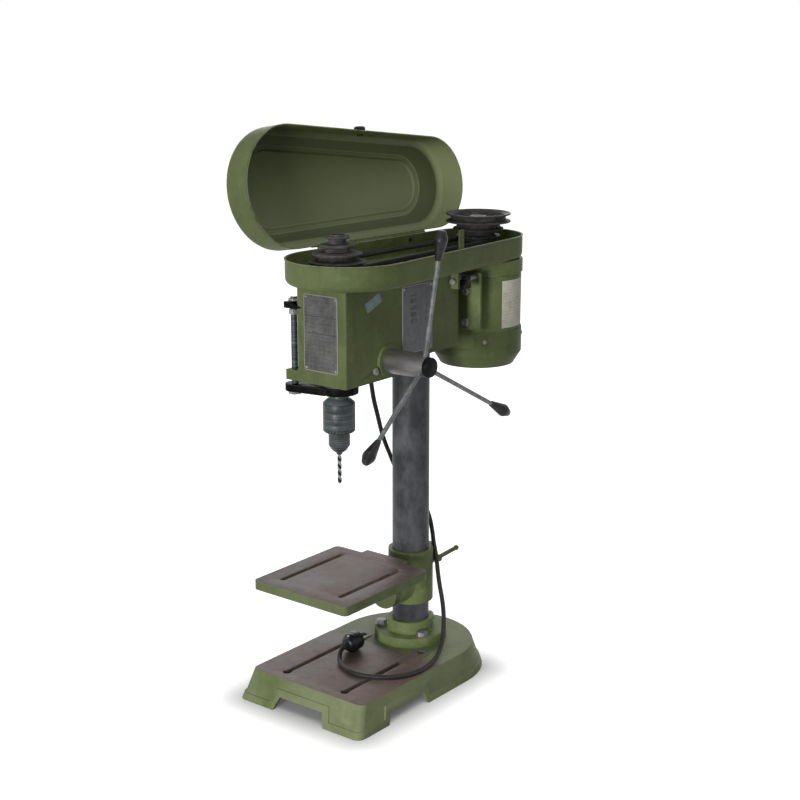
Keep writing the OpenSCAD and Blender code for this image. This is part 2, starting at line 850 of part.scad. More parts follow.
// Runs a hinge part along the hinge axis, with y = 0 at the middle of a hinge
module along_hinge() {
    for (y = hinge_ys)
        translate([-wall_x(y) - knuckle_r / cos(guard_lean), y, rim_z])
            rotate([0, 0, -guard_lean]) children();
}

// A leaf with its knuckles, above the hinge axis if up is 1 and below it if up is -1
module hinge_leaf(knuckles, up, bore_r) {
    leaf_x = knuckle_r - run - leaf_t;
    for (k = knuckles)
        difference() {
            union() {
                bar_y(knuckle_r, k[0], k[1]);
                translate([leaf_x, k[0], up > 0 ? 0 : -knuckle_r - cut])
                    cube([leaf_t, k[1] - k[0], knuckle_r + cut]);
            }
            if (bore_r > 0) bar_y(bore_r, k[0] - cut, k[1] + cut);
        }
    translate([leaf_x, -leaf_l / 2, up > 0 ? knuckle_r + gap : -leaf_h])
        cube([leaf_t, leaf_l, leaf_h - knuckle_r - gap]);
}

module guard_hinge_leaves() color(green)
    along_hinge() {
        hinge_leaf([[-leaf_l / 2, -leaf_l / 6], [leaf_l / 6, leaf_l / 2]], -1, 0);
        bar_y(pin_r, -leaf_l / 3, leaf_l / 3);
    }

module lid_hinge_leaves() color(green)
    opened() along_hinge() hinge_leaf([[gap - leaf_l / 6, leaf_l / 6 - gap]], 1, pin_r + run);

panel_front_r = 70.5;
panel_rear_r = 50;
panel_back = 139.9;
panel_rear_y = column_y + panel_back;
lid_wall_h = lid_h - edge_r;

// The lid upside down, from its flat top at z = 0 down to its rim at z = lid_h
module lid_block(grow, h) {
    translate([0, 0, lid_h]) mirror([0, 0, 1]) pan_block(grow, h);
}

module panel_plan(grow) {
    capsule(guard_y0, panel_front_r + grow, panel_rear_y, panel_rear_r + grow);
}

module lid() color(green)
    opened() translate([0, 0, rim_z])
        difference() {
            union() {
                lid_block(0, lid_h - gap);
                linear_extrude(lid_h + panel_h) panel_plan(0);
            }
            translate([0, 0, -sheet_t]) lid_block(-sheet_t, lid_h + cut);
            translate([0, 0, -cut]) linear_extrude(lid_h + panel_h - sheet_t + cut)
                panel_plan(-sheet_t);
            translate([wall_x(knob_y), knob_y, knob_h]) rotate([0, 0, guard_lean])
                bar_x(knob_screw_r, -guard_front_r, guard_front_r);
        }

knob_back = 36;
knob_y = column_y + knob_back;
knob_h = 30;
knob_r = 9.5;
knob_l = 11;
knob_neck_l = 4;
knob_screw_r = 2.5;
knob_nut_r = 5;
knob_nut_t = 3;

module lid_knob() color(black)
    opened() translate([wall_x(knob_y), knob_y, rim_z + knob_h]) rotate([0, 0, guard_lean]) {
        bar_x(knob_screw_r, -sheet_t - knob_nut_t, knob_neck_l);
        bar_x(knob_r / 2, 0, knob_neck_l + cut);
        bar_x(knob_r, knob_neck_l, knob_l - sheet_t);
        rotate([0, 90, 0]) translate([0, 0, knob_l - sheet_t])
            cylinder(r1 = knob_r, r2 = knob_r - sheet_t, h = sheet_t);
        translate([-sheet_t - knob_nut_t, 0, 0]) rotate([0, 90, 0])
            cylinder(r = knob_nut_r, h = knob_nut_t, $fn = 6);
    }

// Belt drive

spindle_rims = [42.8, 42.8, 37.5, 26, 18.7];
spindle_floors = [33, 28.3, 18.7, 13];
motor_rims = [31, 36, 41.7, 53.3, 53.3];
motor_floors = [23, 28, 36, 45.5];
groove_slope = 1.5;
sleeve_r = 10;
sleeve_z = 641;
sleeve_top_z = 731;
pulley_hub_r = 12;
dish_floor_z = 702;
shaft_r = 8;
motor_hub_r = 14;
shaft_top_z = 724;

// Half profile of a stepped pulley: rims[i] at level i, floors[i] between levels i and i + 1
function pulley_profile(rims, floors, bore_r) = concat(
    [[bore_r, -rim_t / 2], [rims[0], -rim_t / 2]],
    [for (i = [0:len(floors) - 1]) each [
        [rims[i], i * step_pitch + rim_t / 2],
        [floors[i], i * step_pitch + rim_t / 2 + groove_slope],
        [floors[i], (i + 1) * step_pitch - rim_t / 2 - groove_slope],
        [rims[i + 1], (i + 1) * step_pitch - rim_t / 2]]],
    [[rims[len(floors)], len(floors) * step_pitch + rim_t / 2],
     [bore_r, len(floors) * step_pitch + rim_t / 2]]);

module spindle_pulley() color(dark)
    translate([0, spindle_y, pulley_z]) {
        rotate_extrude() polygon(pulley_profile(spindle_rims, spindle_floors, sleeve_r));
        translate([0, 0, len(spindle_floors) * step_pitch])
            tube(pulley_hub_r, sleeve_r, rim_t + groove_slope);
        translate([0, 0, -rim_t / 2 - groove_slope]) tube(pulley_hub_r, sleeve_r, groove_slope);
    }

module drive_sleeve() color(steel)
    translate([0, spindle_y, sleeve_z])
        tube(sleeve_r, spindle_r + run, sleeve_top_z - sleeve_z);

module pulley_bearings() color(bright)
    translate([0, spindle_y, quill_top_z + 3 * cut])
        tube(quill_r + run, sleeve_r + run, head_top_z - quill_top_z - 3 * cut);

module motor_pulley() color(dark)
    translate([0, motor_y, pulley_z]) {
        top = len(motor_floors) * step_pitch + rim_t / 2;
        dish = dish_floor_z - pulley_z;
        difference() {
            rotate_extrude() polygon(pulley_profile(motor_rims, motor_floors, shaft_r));
            difference() {
                union() {
                    translate([0, 0, dish])
                        cylinder(r1 = motor_floors[1] - 2 * rim_t, r2 = motor_floors[3] - rim_t,
                                 h = top - dish - rim_t);
                    translate([0, 0, top - rim_t - skin])
                        cylinder(r1 = motor_floors[3] - rim_t, r2 = motor_rims[4] - rim_t,
                                 h = rim_t + 2 * skin);
                }
                cylinder(r = motor_hub_r, h = top - 2 * rim_t);
            }
        }
    }

belt_gap = 1;
belt_taper = 1.7;

// Plan of the belt's inner side, grown outwards
module belt_plan(grow) {
    capsule(spindle_y, spindle_floors[0] + belt_gap + grow,
            motor_y, motor_floors[0] + belt_gap + grow);
}

module v_belt() color(black)
    translate([0, 0, pulley_z + step_pitch / 2 - belt_h / 2])
        difference() {
            linear_extrude(belt_h) belt_plan(belt_t);
            translate([0, 0, -cut]) linear_extrude(belt_h + 2 * cut) belt_plan(0);
            for (z = [-cut, belt_h - belt_taper])
                translate([0, 0, z]) linear_extrude(belt_taper + cut) belt_plan(belt_t / 2);
        }

// Motor and its slide

bell_r = 74.5;
bell_t = 1.6;
bell_edge_z = 502;
bell_low_r = 62;
cap_z = 635.2;
stator_wall = 5;
rotor_r = 45;
plate_w = 124;
plate_t = 5;
plate_z = 552;
plate_h = 94;
slide_in_y = 95;
plate_y = motor_y - bell_r - plate_t - gap;
foot_w = 60;
foot_z = 572;
foot_h = 54;
window_w = 79;
window_z = 515;
bearing_r = 17;
bearing_t = 11;
cap_t = 6;
plate_bolt_r = 4;
plate_bolt_head_r = 6.5;
plate_bolt_head_h = 5;
plate_bolt_x = 36;
plate_bolt_zs = [563.5, 614.2];
stud_x = 52.5;
stud_r = 4.6;
stud_l = 20;
bell_screw_r = 2.5;
bell_screw_head_r = 3.2;
bell_screw_head_h = 2.5;
bell_screw_z = 528;

module bell_screw_places() {
    for (turn = [-45, 45, 135, 225])
        translate([0, motor_y, bell_screw_z]) rotate([0, 0, turn])
            translate([bell_r, 0, 0]) rotate([0, 90, 0]) children();
}

module plate_bolt_places() {
    for (z = plate_bolt_zs)
        pair_x(plate_bolt_x) translate([0, plate_y, z]) rotate([90, 0, 0]) children();
}

module motor_plate() color(green)
    difference() {
        translate([-plate_w / 2, plate_y, plate_z]) cube([plate_w, plate_t, plate_h]);
        pair_x(slide_rod_x) translate([0, 0, slide_rod_z])
            bar_y(slide_rod_r, plate_y - cut, plate_y + plate_t + cut);
        plate_bolt_places() translate([0, 0, -plate_t - cut])
            cylinder(r = plate_bolt_r, h = plate_t + 2 * cut);
    }

module slide_rods() color(bright)
    pair_x(slide_rod_x) translate([0, 0, slide_rod_z])
        bar_y(slide_rod_r, slide_in_y, plate_y + plate_t);

module motor_body() color(green) {
    difference() {
        union() {
            translate([0, motor_y, bell_edge_z]) cylinder(r = motor_r, h = cap_z - bell_edge_z);
            translate([-foot_w * 2 / 3, plate_y + plate_t, plate_bolt_zs[0] - 2 * plate_bolt_head_r])
                cube([foot_w * 4 / 3, motor_r / 2,
                      plate_bolt_zs[1] - plate_bolt_zs[0] + 4 * plate_bolt_head_r]);
        }
        translate([0, motor_y, bell_edge_z - cut])
            cylinder(r = motor_r - stator_wall, h = cap_z - bell_edge_z + 2 * cut);
        plate_bolt_places() translate([0, 0, -plate_t - foot_bolt_l])
            cylinder(r = plate_bolt_r, h = plate_t + foot_bolt_l + cut);
    }
}

foot_bolt_l = 10;

module motor_bolts() color(bright) {
    plate_bolt_places() hex_bolt(plate_bolt_head_r, plate_bolt_head_h, plate_bolt_r,
                                 plate_t + foot_bolt_l);
    translate([stud_x, plate_y, jack_z]) rotate([90, 0, 0]) {
        tube(stud_r, jack_r, stud_l);
        cylinder(r = jack_r, h = stud_l - jack_r);
    }
    bell_screw_places() {
        cylinder(r = bell_screw_head_r, h = bell_screw_head_h);
        translate([0, 0, motor_r - bell_r + run])
            cylinder(r = bell_screw_r, h = bell_r - motor_r + cut);
    }
}

module motor_bell() color(green)
    difference() {
        translate([0, motor_y, 0]) {
            translate([0, 0, motor_z])
                cylinder(r1 = bell_low_r, r2 = bell_r, h = bell_edge_z - motor_z);
            translate([0, 0, bell_edge_z]) cylinder(r = bell_r, h = bell_top_z - bell_edge_z);
        }
        translate([0, motor_y, bell_edge_z]) cylinder(r = motor_r, h = bell_top_z);
        translate([0, motor_y, motor_z + cap_t])
            cylinder(r1 = bell_low_r - cap_t, r2 = motor_r - stator_wall,
                     h = bell_edge_z - motor_z - cap_t + skin);
        translate([0, motor_y, motor_z - cut]) cylinder(r = bearing_r, h = cap_t + bearing_t);
        translate([-window_w / 2, motor_y - bell_r - cut, window_z])
            cube([window_w, bell_r, bell_top_z]);
        bell_screw_places() translate([0, 0, motor_r - bell_r - cut])
            cylinder(r = bell_screw_r, h = bell_r);
    }

module motor_cap() color(green)
    translate([0, motor_y, cap_z])
        difference() {
            cylinder(r = bell_r, h = motor_top_z - cap_z);
            translate([0, 0, -cut])
                cylinder(r = motor_r - stator_wall, h = motor_top_z - cap_z - cap_t + cut);
            cylinder(r = bearing_r, h = motor_top_z);
        }

module motor_bearings() color(bright)
    translate([0, motor_y, 0]) {
        translate([0, 0, motor_top_z - cap_t]) tube(bearing_r, shaft_r + run, cap_t);
        translate([0, 0, motor_z]) tube(bearing_r, shaft_r + run, cap_t);
    }

module motor_shaft() color(steel)
    translate([0, motor_y, 0]) {
        translate([0, 0, motor_z + label_t]) cylinder(r = shaft_r, h = shaft_top_z - motor_z);
        translate([0, 0, bell_edge_z + 2 * bearing_t])
            cylinder(r = rotor_r, h = cap_z - bell_edge_z - 4 * bearing_t);
    }

rating_z = 548.5;
rating_h = 78;
rating_t = 0.6;
rating_mid_angle = 3;
rating_half_angle = 24;

module rating_plate() color(cream)
    intersection() {
        translate([0, motor_y, rating_z]) tube(motor_r + rating_t, motor_r + run, rating_h);
        translate([0, motor_y, rating_z]) rotate([0, 0, rating_mid_angle])
            linear_extrude(rating_h)
                polygon([[0, 0], [2 * bell_r, -2 * bell_r * tan(rating_half_angle)],
                         [2 * bell_r, 2 * bell_r * tan(rating_half_angle)]]);
    }

lock_knob_out = 10.4;
lock_knob_x = head_w / 2 + lock_knob_out;
lock_knob_t = 8;
lock_hub_r = 6;
lock_lobe_r = 4;
lock_lobe_at = 8;

module belt_lock_knob() color(black)
    translate([0, lock_y, lock_z]) {
        bar_x(lock_r, slide_rod_x + slide_rod_r + gap, lock_knob_x + lock_knob_t / 2);
        bar_x(lock_lobe_r + cut, head_w / 2 + gap, lock_knob_x);
        bar_x(lock_hub_r, lock_knob_x, lock_knob_x + lock_knob_t);
        for (turn = [0, 120, 240])
            rotate([turn, 0, 0]) translate([0, 0, lock_lobe_at])
                bar_x(lock_lobe_r, lock_knob_x, lock_knob_x + lock_knob_t);
    }

// Mains lead

lead_r = 3.65;
lead_sides = 10;
lead_start = [-33, -11, 506];
gland_r = 7;
gland_tip_r = 5.2;
gland_flange_r = 8;
gland_flange_t = 4;
lead_end = [-28, -88, 62.3];
plug_axis = [-0.1, 1, 0];

// Route by hand: down from the gland, round behind the column, then in a loop on the base
lead_route = [
    lead_start, [-33, -11, 490], [-32, -9, 473], [-32, -4, 452], [-33, 6, 426],
    [-36, 18, 400], [-39, 32, 375], [-41, 46, 353], [-42, 58, 333], [-40, 70, 314],
    [-33, 81, 296], [-22, 90, 280], [-9, 95, 264], [5, 94, 241], [15, 89, 219],
    [20, 86, 203], [33, 76, 183], [43, 67, 163], [53, 59, 143], [62, 53, 126],
    [71, 45, 111], [79, 36, 95], [85, 27, 82], [91, 16, 70], [96, 3, 60],
    [101, -15, 53], [105, -39, 50.5], [107, -64, 50.5], [102, -88, 50.5], [91, -106, 50.5],
    [77, -119, 50.5], [60, -129, 50.5], [41, -134, 50.5], [21, -133, 50.5], [3, -126, 50.5],
    [-13, -116, 51], [-22, -106, 54.5], [-27, -96, 59.8]];

function unit(v) = v / norm(v);
function way(p, i) = unit(p[min(i + 1, len(p) - 1)] - p[max(i - 1, 0)]);
function across(p, i, last) = unit(last - (last * way(p, i)) * way(p, i));
function frames(p, i, last) = i == len(p) ? []
    : let (n = across(p, i, last)) concat([n], frames(p, i + 1, n));
function mid(p, i) = (9 * (p[i] + p[i + 1]) - p[max(i - 1, 0)]
                      - p[min(i + 2, len(p) - 1)]) / 16;
function finer(p) = concat([for (i = [0:len(p) - 2]) each [p[i], mid(p, i)]], [p[len(p) - 1]]);

module swept_tube(p, r, sides) {
    n = frames(p, 0, [1, 0, 0]);
    rings = [for (i = [0:len(p) - 1], k = [0:sides - 1])
        p[i] + r * (cos(360 * k / sides) * n[i] + sin(360 * k / sides) * cross(way(p, i), n[i]))];
    last = (len(p) - 1) * sides;
    walls = [for (i = [0:len(p) - 2], k = [0:sides - 1])
        let (a = i * sides + k, b = i * sides + (k + 1) % sides)
            each [[a, b, b + sides], [a, b + sides, a + sides]]];
    ends = [for (k = [1:sides - 2])
        each [[0, k + 1, k], [last, last + k, last + k + 1]]];
    polyhedron(points = rings, faces = [for (f = concat(walls, ends)) [f[2], f[1], f[0]]]);
}

plug_r = 15.5;
plug_l = 26;
plug_neck_l = 12;
plug_face_l = 5;
pin_len = 19;
pin_gap = 9.5;
plug_pin_r = 2.4;
route_full = concat(lead_route, [lead_end]);

module cord() color(black) swept_tube(finer(route_full), lead_r, lead_sides);

module cord_gland() color(black)
    translate([lead_start[0], lead_start[1], lead_start[2]]) {
        cylinder(r1 = gland_tip_r, r2 = gland_r, h = head_rear_z - gland_flange_t - lead_start[2]);
        translate([0, 0, head_rear_z - gland_flange_t - lead_start[2]])
            cylinder(r = gland_flange_r, h = gland_flange_t);
    }

// Turns a shape along +Z to run from the end of the lead into the plug
module at_plug() {
    translate(lead_end)
        rotate([0, 90, atan2(plug_axis[1], plug_axis[0])]) children();
}

module plug_body() color(black)
    at_plug() {
        cylinder(r1 = lead_r + cut, r2 = plug_neck_r, h = plug_neck_l);
        translate([0, 0, plug_neck_l - plug_face_l])
            cylinder(r1 = plug_neck_r, r2 = plug_r, h = 2 * plug_face_l);
        translate([0, 0, plug_neck_l + plug_face_l]) cylinder(r = plug_r, h = plug_l - plug_face_l);
    }

plug_neck_r = 8;

module plug_pins() color(bright)
    at_plug() translate([0, 0, plug_neck_l + plug_l])
        for (side = [-1, 1])
            translate([0, side * pin_gap, 0]) {
                cylinder(r = plug_pin_r, h = pin_len - plug_pin_r);
                translate([0, 0, pin_len - plug_pin_r])
                    cylinder(r1 = plug_pin_r, r2 = plug_pin_r / 2, h = plug_pin_r);
            }

// Quill with its rack, arm and depth rod

quill_bore_r = 14;
quill_seat_r = 18;
quill_seat_h = 12;
rack_below = 16.4;
rack_above = 93.6;
rack_z = feed_z - rack_below;
rack_top_z = feed_z + rack_above;
pinion_module = 2 * pinion_pitch_r / pinion_teeth;

module quill() color(steel)
    translate([0, spindle_y, quill_z])
        difference() {
            cylinder(r = quill_r, h = quill_top_z - quill_z);
            translate([0, 0, -cut]) cylinder(r = quill_bore_r, h = quill_top_z);
            translate([0, 0, -cut]) cylinder(r = quill_seat_r, h = quill_seat_h + cut);
            translate([0, 0, quill_top_z - quill_z - quill_seat_h])
                cylinder(r = quill_seat_r, h = quill_seat_h + cut);
        }

module quill_bearings() color(bright)
    translate([0, spindle_y, quill_z]) {
        tube(quill_seat_r, spindle_r + run, quill_seat_h);
        translate([0, 0, quill_top_z - quill_z - quill_seat_h])
            tube(quill_seat_r, spindle_r + run, quill_seat_h);
    }

// Teeth are drawn as trapezoids: half widths at the root and at the tip, over the depth
tooth_root_share = 0.34;
tooth_tip_share = 0.13;
pinion_root_share = 0.33;
pinion_tip_share = 0.09;
tooth_pitch = PI * pinion_module;
addendum = 0.85 * pinion_module;
dedendum = 1.15 * pinion_module;

module quill_rack() color(steel)
    translate([0, spindle_y, 0]) {
        back = rack_pitch_back - dedendum;
        first = ceil(tooth_root_share - 0.5 - rack_below / tooth_pitch);
        last = floor(rack_above / tooth_pitch - 0.5 - tooth_root_share);
        difference() {
            translate([-rack_w / 2, 0, rack_z]) cube([rack_w, back, rack_top_z - rack_z]);
            translate([0, 0, rack_z - cut]) cylinder(r = quill_r, h = rack_top_z - rack_z + 2 * cut);
        }
        for (i = [first:last])
            translate([-rack_w / 2, back, feed_z + (i + 0.5) * tooth_pitch]) rotate([90, 0, 90])
                linear_extrude(rack_w)
                    polygon([[-cut, -tooth_root_share * tooth_pitch],
                             [0, -tooth_root_share * tooth_pitch],
                             [addendum + dedendum, -tooth_tip_share * tooth_pitch],
                             [addendum + dedendum, tooth_tip_share * tooth_pitch],
                             [0, tooth_root_share * tooth_pitch],
                             [-cut, tooth_root_share * tooth_pitch]]);
    }

arm_ring_r = 30;
arm_end_r = 15;
arm_slit_w = 1.5;
arm_z = quill_z;

module depth_arm() color(black) {
    reach = norm([rod_x_off, rod_front]);
    turn = atan2(rod_x_off, -rod_front);
    translate([0, spindle_y, arm_z])
        difference() {
            union() {
                rotate([0, 0, turn]) linear_extrude(arm_t) capsule(0, arm_ring_r, reach, arm_end_r);
            }
            translate([0, 0, -cut]) cylinder(r = quill_r, h = arm_t + 2 * cut);
            translate([-arm_slit_w / 2, -arm_ring_r - cut, -cut])
                cube([arm_slit_w, arm_ring_r, arm_t + 2 * cut]);
            translate([-rod_x_off, -rod_front, -cut])
                cylinder(r = rod_d / 2, h = arm_t + 2 * cut);
        }
}

under_nut_r = 11;
under_nut_h = 5;
top_nut_r = 6.5;
top_nut_h = 4;
block_w = 14.8;
block_l = 14;
block_h = 9.5;
block_z = 622;
stop_nut_r = 8;
stop_nut_h = 7.4;
pointer_t = 1.2;
pointer_l = 27;

module at_rod(z) translate([-rod_x_off, spindle_y - rod_front, z]) children();

module depth_rod() color(steel)
    at_rod(arm_z - under_nut_h - cut) cylinder(r = rod_d / 2, h = rod_top_z - arm_z + under_nut_h + cut);

module depth_nuts() color(bright) {
    at_rod(arm_z - under_nut_h) difference() {
        cylinder(r = under_nut_r, h = under_nut_h, $fn = 6);
        translate([0, 0, -cut]) cylinder(r = rod_d / 2, h = under_nut_h + 2 * cut);
    }
    at_rod(block_z + block_h) difference() {
        cylinder(r = rod_d / 2 + stop_nut_h / 2, h = top_nut_h, $fn = 6);
        translate([0, 0, -cut]) cylinder(r = rod_d / 2, h = top_nut_h + 2 * cut);
    }
}

module depth_pointer() color(dark) {
    tip_y = head_front_y - label_t - gap - pointer_t;
    at_rod(block_z) difference() {
        translate([-block_w / 2, tip_y - spindle_y + rod_front, 0])
            cube([block_w, spindle_y - rod_front - tip_y + block_l / 2, block_h]);
        translate([0, 0, -cut]) cylinder(r = rod_d / 2, h = block_h + 2 * cut);
    }
    translate([-rod_x_off + block_w / 2 - cut, tip_y + pointer_t, block_z]) rotate([90, 0, 0])
        linear_extrude(pointer_t)
            polygon([[0, 0], [pointer_l - block_w / 2, block_h / 4],
                     [pointer_l - block_w / 2, block_h / 3], [0, block_h]]);
}

module stop_nut() color(bright)
    at_rod(stop_nut_z) difference() {
        cylinder(r = stop_nut_r, h = stop_nut_h, $fn = 6);
        translate([0, 0, -cut]) cylinder(r = rod_d / 2 + run, h = stop_nut_h + 2 * cut);
    }

// Spindle, chuck and bit

spindle_top_z = 728;
nose_r = 12;
chuck_top_z = 491.5;
neck_r = 13.5;
core_r = 16.4;
core_z = 413.2;
nose_tip_r = 6.5;
nose_tip_z = 401.6;
dome_h = 7.4;
dome_r = 23;
jaw_r = 5.5;
jaw_z = 398.5;
bit_shank_l = 22;
tooth_n = 28;
tooth_w = 2.4;
tooth_h = 5;
tooth_d = 3.4;
ring_groove_w = 0.8;
ring_grooves = [13.5, 31];

module spindle() color(steel)
    translate([0, spindle_y, 0]) {
        translate([0, 0, chuck_z + chuck_h]) cylinder(r = spindle_r, h = spindle_top_z - chuck_z - chuck_h);
        translate([0, 0, chuck_top_z]) cylinder(r = nose_r, h = quill_z - gap - chuck_top_z);
    }

module chuck_body() color(steel)
    translate([0, spindle_y, 0])
        difference() {
            rotate_extrude()
                polygon([[0, nose_tip_z], [nose_tip_r, nose_tip_z],
                         [(nose_tip_r + core_r) / 2, (2 * nose_tip_z + core_z) / 3],
                         [core_r, core_z], [core_r, chuck_z + chuck_h + gap],
                         [chuck_r - gap, chuck_z + chuck_h + gap],
                         [dome_r - 2 * gap, chuck_z + chuck_h + dome_h / 4],
                         [(dome_r + neck_r) / 2, chuck_z + chuck_h + dome_h * 3 / 4],
                         [neck_r, chuck_z + chuck_h + dome_h],
                         [neck_r, chuck_top_z], [0, chuck_top_z]]);
            translate([0, 0, chuck_z + chuck_h]) cylinder(r = spindle_r, h = chuck_top_z);
            translate([0, 0, nose_tip_z - cut])
                cylinder(r = jaw_r, h = chuck_z + cut - nose_tip_z);
        }

module chuck_sleeve() color(steel)
    translate([0, spindle_y, chuck_z])
        difference() {
            union() {
                translate([0, 0, tooth_h / 2]) cylinder(r = chuck_r, h = chuck_h - tooth_h / 2);
                cylinder(r1 = chuck_r - tooth_h / 2, r2 = chuck_r, h = tooth_h / 2);
            }
            translate([0, 0, -cut]) cylinder(r = core_r + run, h = chuck_h + 2 * cut);
            for (g = ring_grooves)
                translate([0, 0, g]) tube(chuck_r + cut, chuck_r - ring_groove_w, ring_groove_w);
            for (i = [0:tooth_n - 1])
                rotate([0, 0, i * 360 / tooth_n])
                    translate([chuck_r - tooth_d, -tooth_w / 2, -cut])
                        cube([tooth_d + cut, tooth_w, tooth_h + cut]);
        }

module chuck_jaws() color(steel)
    translate([0, spindle_y, 0])
        difference() {
            union() {
                translate([0, 0, nose_tip_z]) cylinder(r = jaw_r, h = bit_shank_l);
                translate([0, 0, jaw_z])
                    cylinder(r1 = bit_d / 2 + cut, r2 = jaw_r, h = nose_tip_z - jaw_z);
            }
            translate([0, 0, jaw_z - cut]) cylinder(r = bit_d / 2, h = 2 * bit_shank_l);
            for (turn = [0, 120, 240])
                rotate([0, 0, turn])
                    translate([0, -ring_groove_w / 2, jaw_z - cut])
                        cube([2 * jaw_r, ring_groove_w, 2 * bit_shank_l]);
        }

point_h = 2;
flute_turns = 2.7;
flute_off_share = 0.62;
flute_r_share = 0.46;

module drill_bit() color(dark)
    translate([0, spindle_y, 0]) {
        flute_l = jaw_z - bit_z - point_h;
        translate([0, 0, jaw_z]) cylinder(r = bit_d / 2, h = bit_shank_l);
        translate([0, 0, bit_z + point_h])
            linear_extrude(flute_l, twist = -360 * flute_turns, slices = 42)
                difference() {
                    circle(r = bit_d / 2, $fn = 12);
                    for (side = [-1, 1])
                        translate([side * flute_off_share * bit_d, 0])
                            circle(r = flute_r_share * bit_d, $fn = 12);
                }
        translate([0, 0, bit_z]) cylinder(r1 = bit_d / 16, r2 = bit_d / 4, h = point_h);
    }

// Feed shaft, hub and arms

hub_x = head_w / 2 + feed_flange_t + gap;
hub_taper_x = 95;
hub_tip_r = 14.3;
arm_x = 115.6;
shaft_l_x = head_w / 2 + spring_case_l - spring_wall;
shaft_in_l = 40;
knob_len = 45;
grip_r = 10;
arm_root = 9;

module feed_shaft() color(steel)
    translate([0, feed_y, feed_z]) {
        bar_x(feed_shaft_r, -shaft_l_x, hub_x + shaft_in_l);
        translate([-rack_w / 2, 0, 0]) rotate([90, 0, 90]) {
            linear_extrude(rack_w) union() {
                circle(r = pinion_pitch_r - dedendum);
                for (i = [0:pinion_teeth - 1])
                    rotate(i * 360 / pinion_teeth)
                        translate([pinion_pitch_r - dedendum, 0])
                            polygon([[-cut, -pinion_root_share * tooth_pitch],
                                     [0, -pinion_root_share * tooth_pitch],
                                     [dedendum + addendum, -pinion_tip_share * tooth_pitch],
                                     [dedendum + addendum, pinion_tip_share * tooth_pitch],
                                     [0, pinion_root_share * tooth_pitch],
                                     [-cut, pinion_root_share * tooth_pitch]]);
            }
        }
    }

// One feed arm stands up, the other two follow at thirds of a turn
module feed_arm_places() {
    translate([arm_x, feed_y, feed_z])
        for (turn = [0, 120, 240])
            rotate([turn, 0, 0]) rotate([0, arm_lean, 0]) children();
}

module feed_hub() color(dark)
    difference() {
        translate([0, feed_y, feed_z]) {
            bar_x(hub_r, hub_x, hub_taper_x);
            translate([hub_taper_x, 0, 0]) rotate([0, 90, 0])
                cylinder(r1 = hub_r, r2 = hub_tip_r, h = hub_end_x - hub_taper_x);
        }
        translate([0, feed_y, feed_z]) bar_x(feed_shaft_r, hub_x - cut, hub_x + shaft_in_l);
        feed_arm_places() translate([0, 0, arm_root]) cylinder(r = arm_d / 2, h = 2 * hub_r);
    }

module feed_arms() color(bright)
    feed_arm_places() translate([0, 0, arm_root])
        cylinder(r = arm_d / 2, h = arm_l - knob_len / 2 - arm_root);

// Grip outline as shares of its length and of its radius, from the arm's side out
grip_length_shares = [0, 0.04, 0.62, 0.68, 0.74, 0.95, 1];
grip_radius_shares = [0.44, 0.48, 0.95, 1, 0.97, 0.62, 0.5];

module feed_knobs() color(black)
    feed_arm_places() translate([0, 0, arm_l - knob_len])
        difference() {
            rotate_extrude()
                polygon(concat([[0, 0]],
                    [for (i = [0:len(grip_length_shares) - 1])
                        [grip_radius_shares[i] * grip_r, grip_length_shares[i] * knob_len]],
                    [[0, knob_len]]));
            translate([0, 0, -cut]) cylinder(r = arm_d / 2, h = knob_len / 2 + cut);
        }

base();
column_flange();
flange_bolts();
column();
head();
head_screws();
belt_guard();
guard_screws();
guard_hinge_leaves();
scale_plate();
speed_plate();
plate_rivets();
pulley_bearings();
spring_housing();
return_spring();
switch_box();
switch_rocker();
cord_gland();
cord();
plug_body();
plug_pins();
v_belt();
belt_lock_knob();
motor_plate();
motor_bolts();
slide_rods();
motor_body();
motor_bell();
motor_cap();
motor_bearings();
rating_plate();
motor_shaft();
motor_pulley();
spindle_pulley();
drive_sleeve();
quill();
quill_rack();
quill_bearings();
depth_arm();
depth_rod();
depth_nuts();
depth_pointer();
stop_nut();
spindle();
chuck_body();
chuck_jaws();
drill_bit();
chuck_sleeve();
feed_shaft();
feed_hub();
feed_arms();
feed_knobs();
lid();
lid_knob();
lid_hinge_leaves();
table_bracket();
tilt_bolt();
table();
clamp_lever();
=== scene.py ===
# %% [markdown]
# # A bench pillar drill, dressed round its CAD frame
# The frame is the machine's real steel and iron, already the right size and in the right
# place. This lesson gives it the things that a CAD model lacks: rounded casting edges,
# pressed sheet with a rolled lip, a lead that hangs, and finishes that look used.

# %% Load the frame
import json
import math
import bpy
from mathutils import Matrix, Vector


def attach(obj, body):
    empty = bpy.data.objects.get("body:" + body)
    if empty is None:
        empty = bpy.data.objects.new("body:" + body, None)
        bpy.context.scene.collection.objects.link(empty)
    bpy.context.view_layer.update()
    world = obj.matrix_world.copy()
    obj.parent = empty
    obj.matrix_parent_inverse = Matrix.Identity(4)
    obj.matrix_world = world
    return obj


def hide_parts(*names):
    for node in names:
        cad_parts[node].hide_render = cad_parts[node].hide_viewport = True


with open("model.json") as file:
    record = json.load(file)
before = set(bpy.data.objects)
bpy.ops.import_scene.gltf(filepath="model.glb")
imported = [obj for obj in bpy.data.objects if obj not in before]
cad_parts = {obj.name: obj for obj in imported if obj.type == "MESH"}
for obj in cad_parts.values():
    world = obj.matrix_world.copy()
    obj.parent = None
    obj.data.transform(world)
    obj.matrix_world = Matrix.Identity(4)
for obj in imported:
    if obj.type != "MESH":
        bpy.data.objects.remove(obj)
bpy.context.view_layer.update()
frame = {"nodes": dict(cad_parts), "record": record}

MM = 0.001

# %% [markdown]
# ## The camera
# The photograph is taken from the front right, a little above the head. A long lens a
# couple of metres away keeps the column's edges nearly parallel, so the camera stands there.


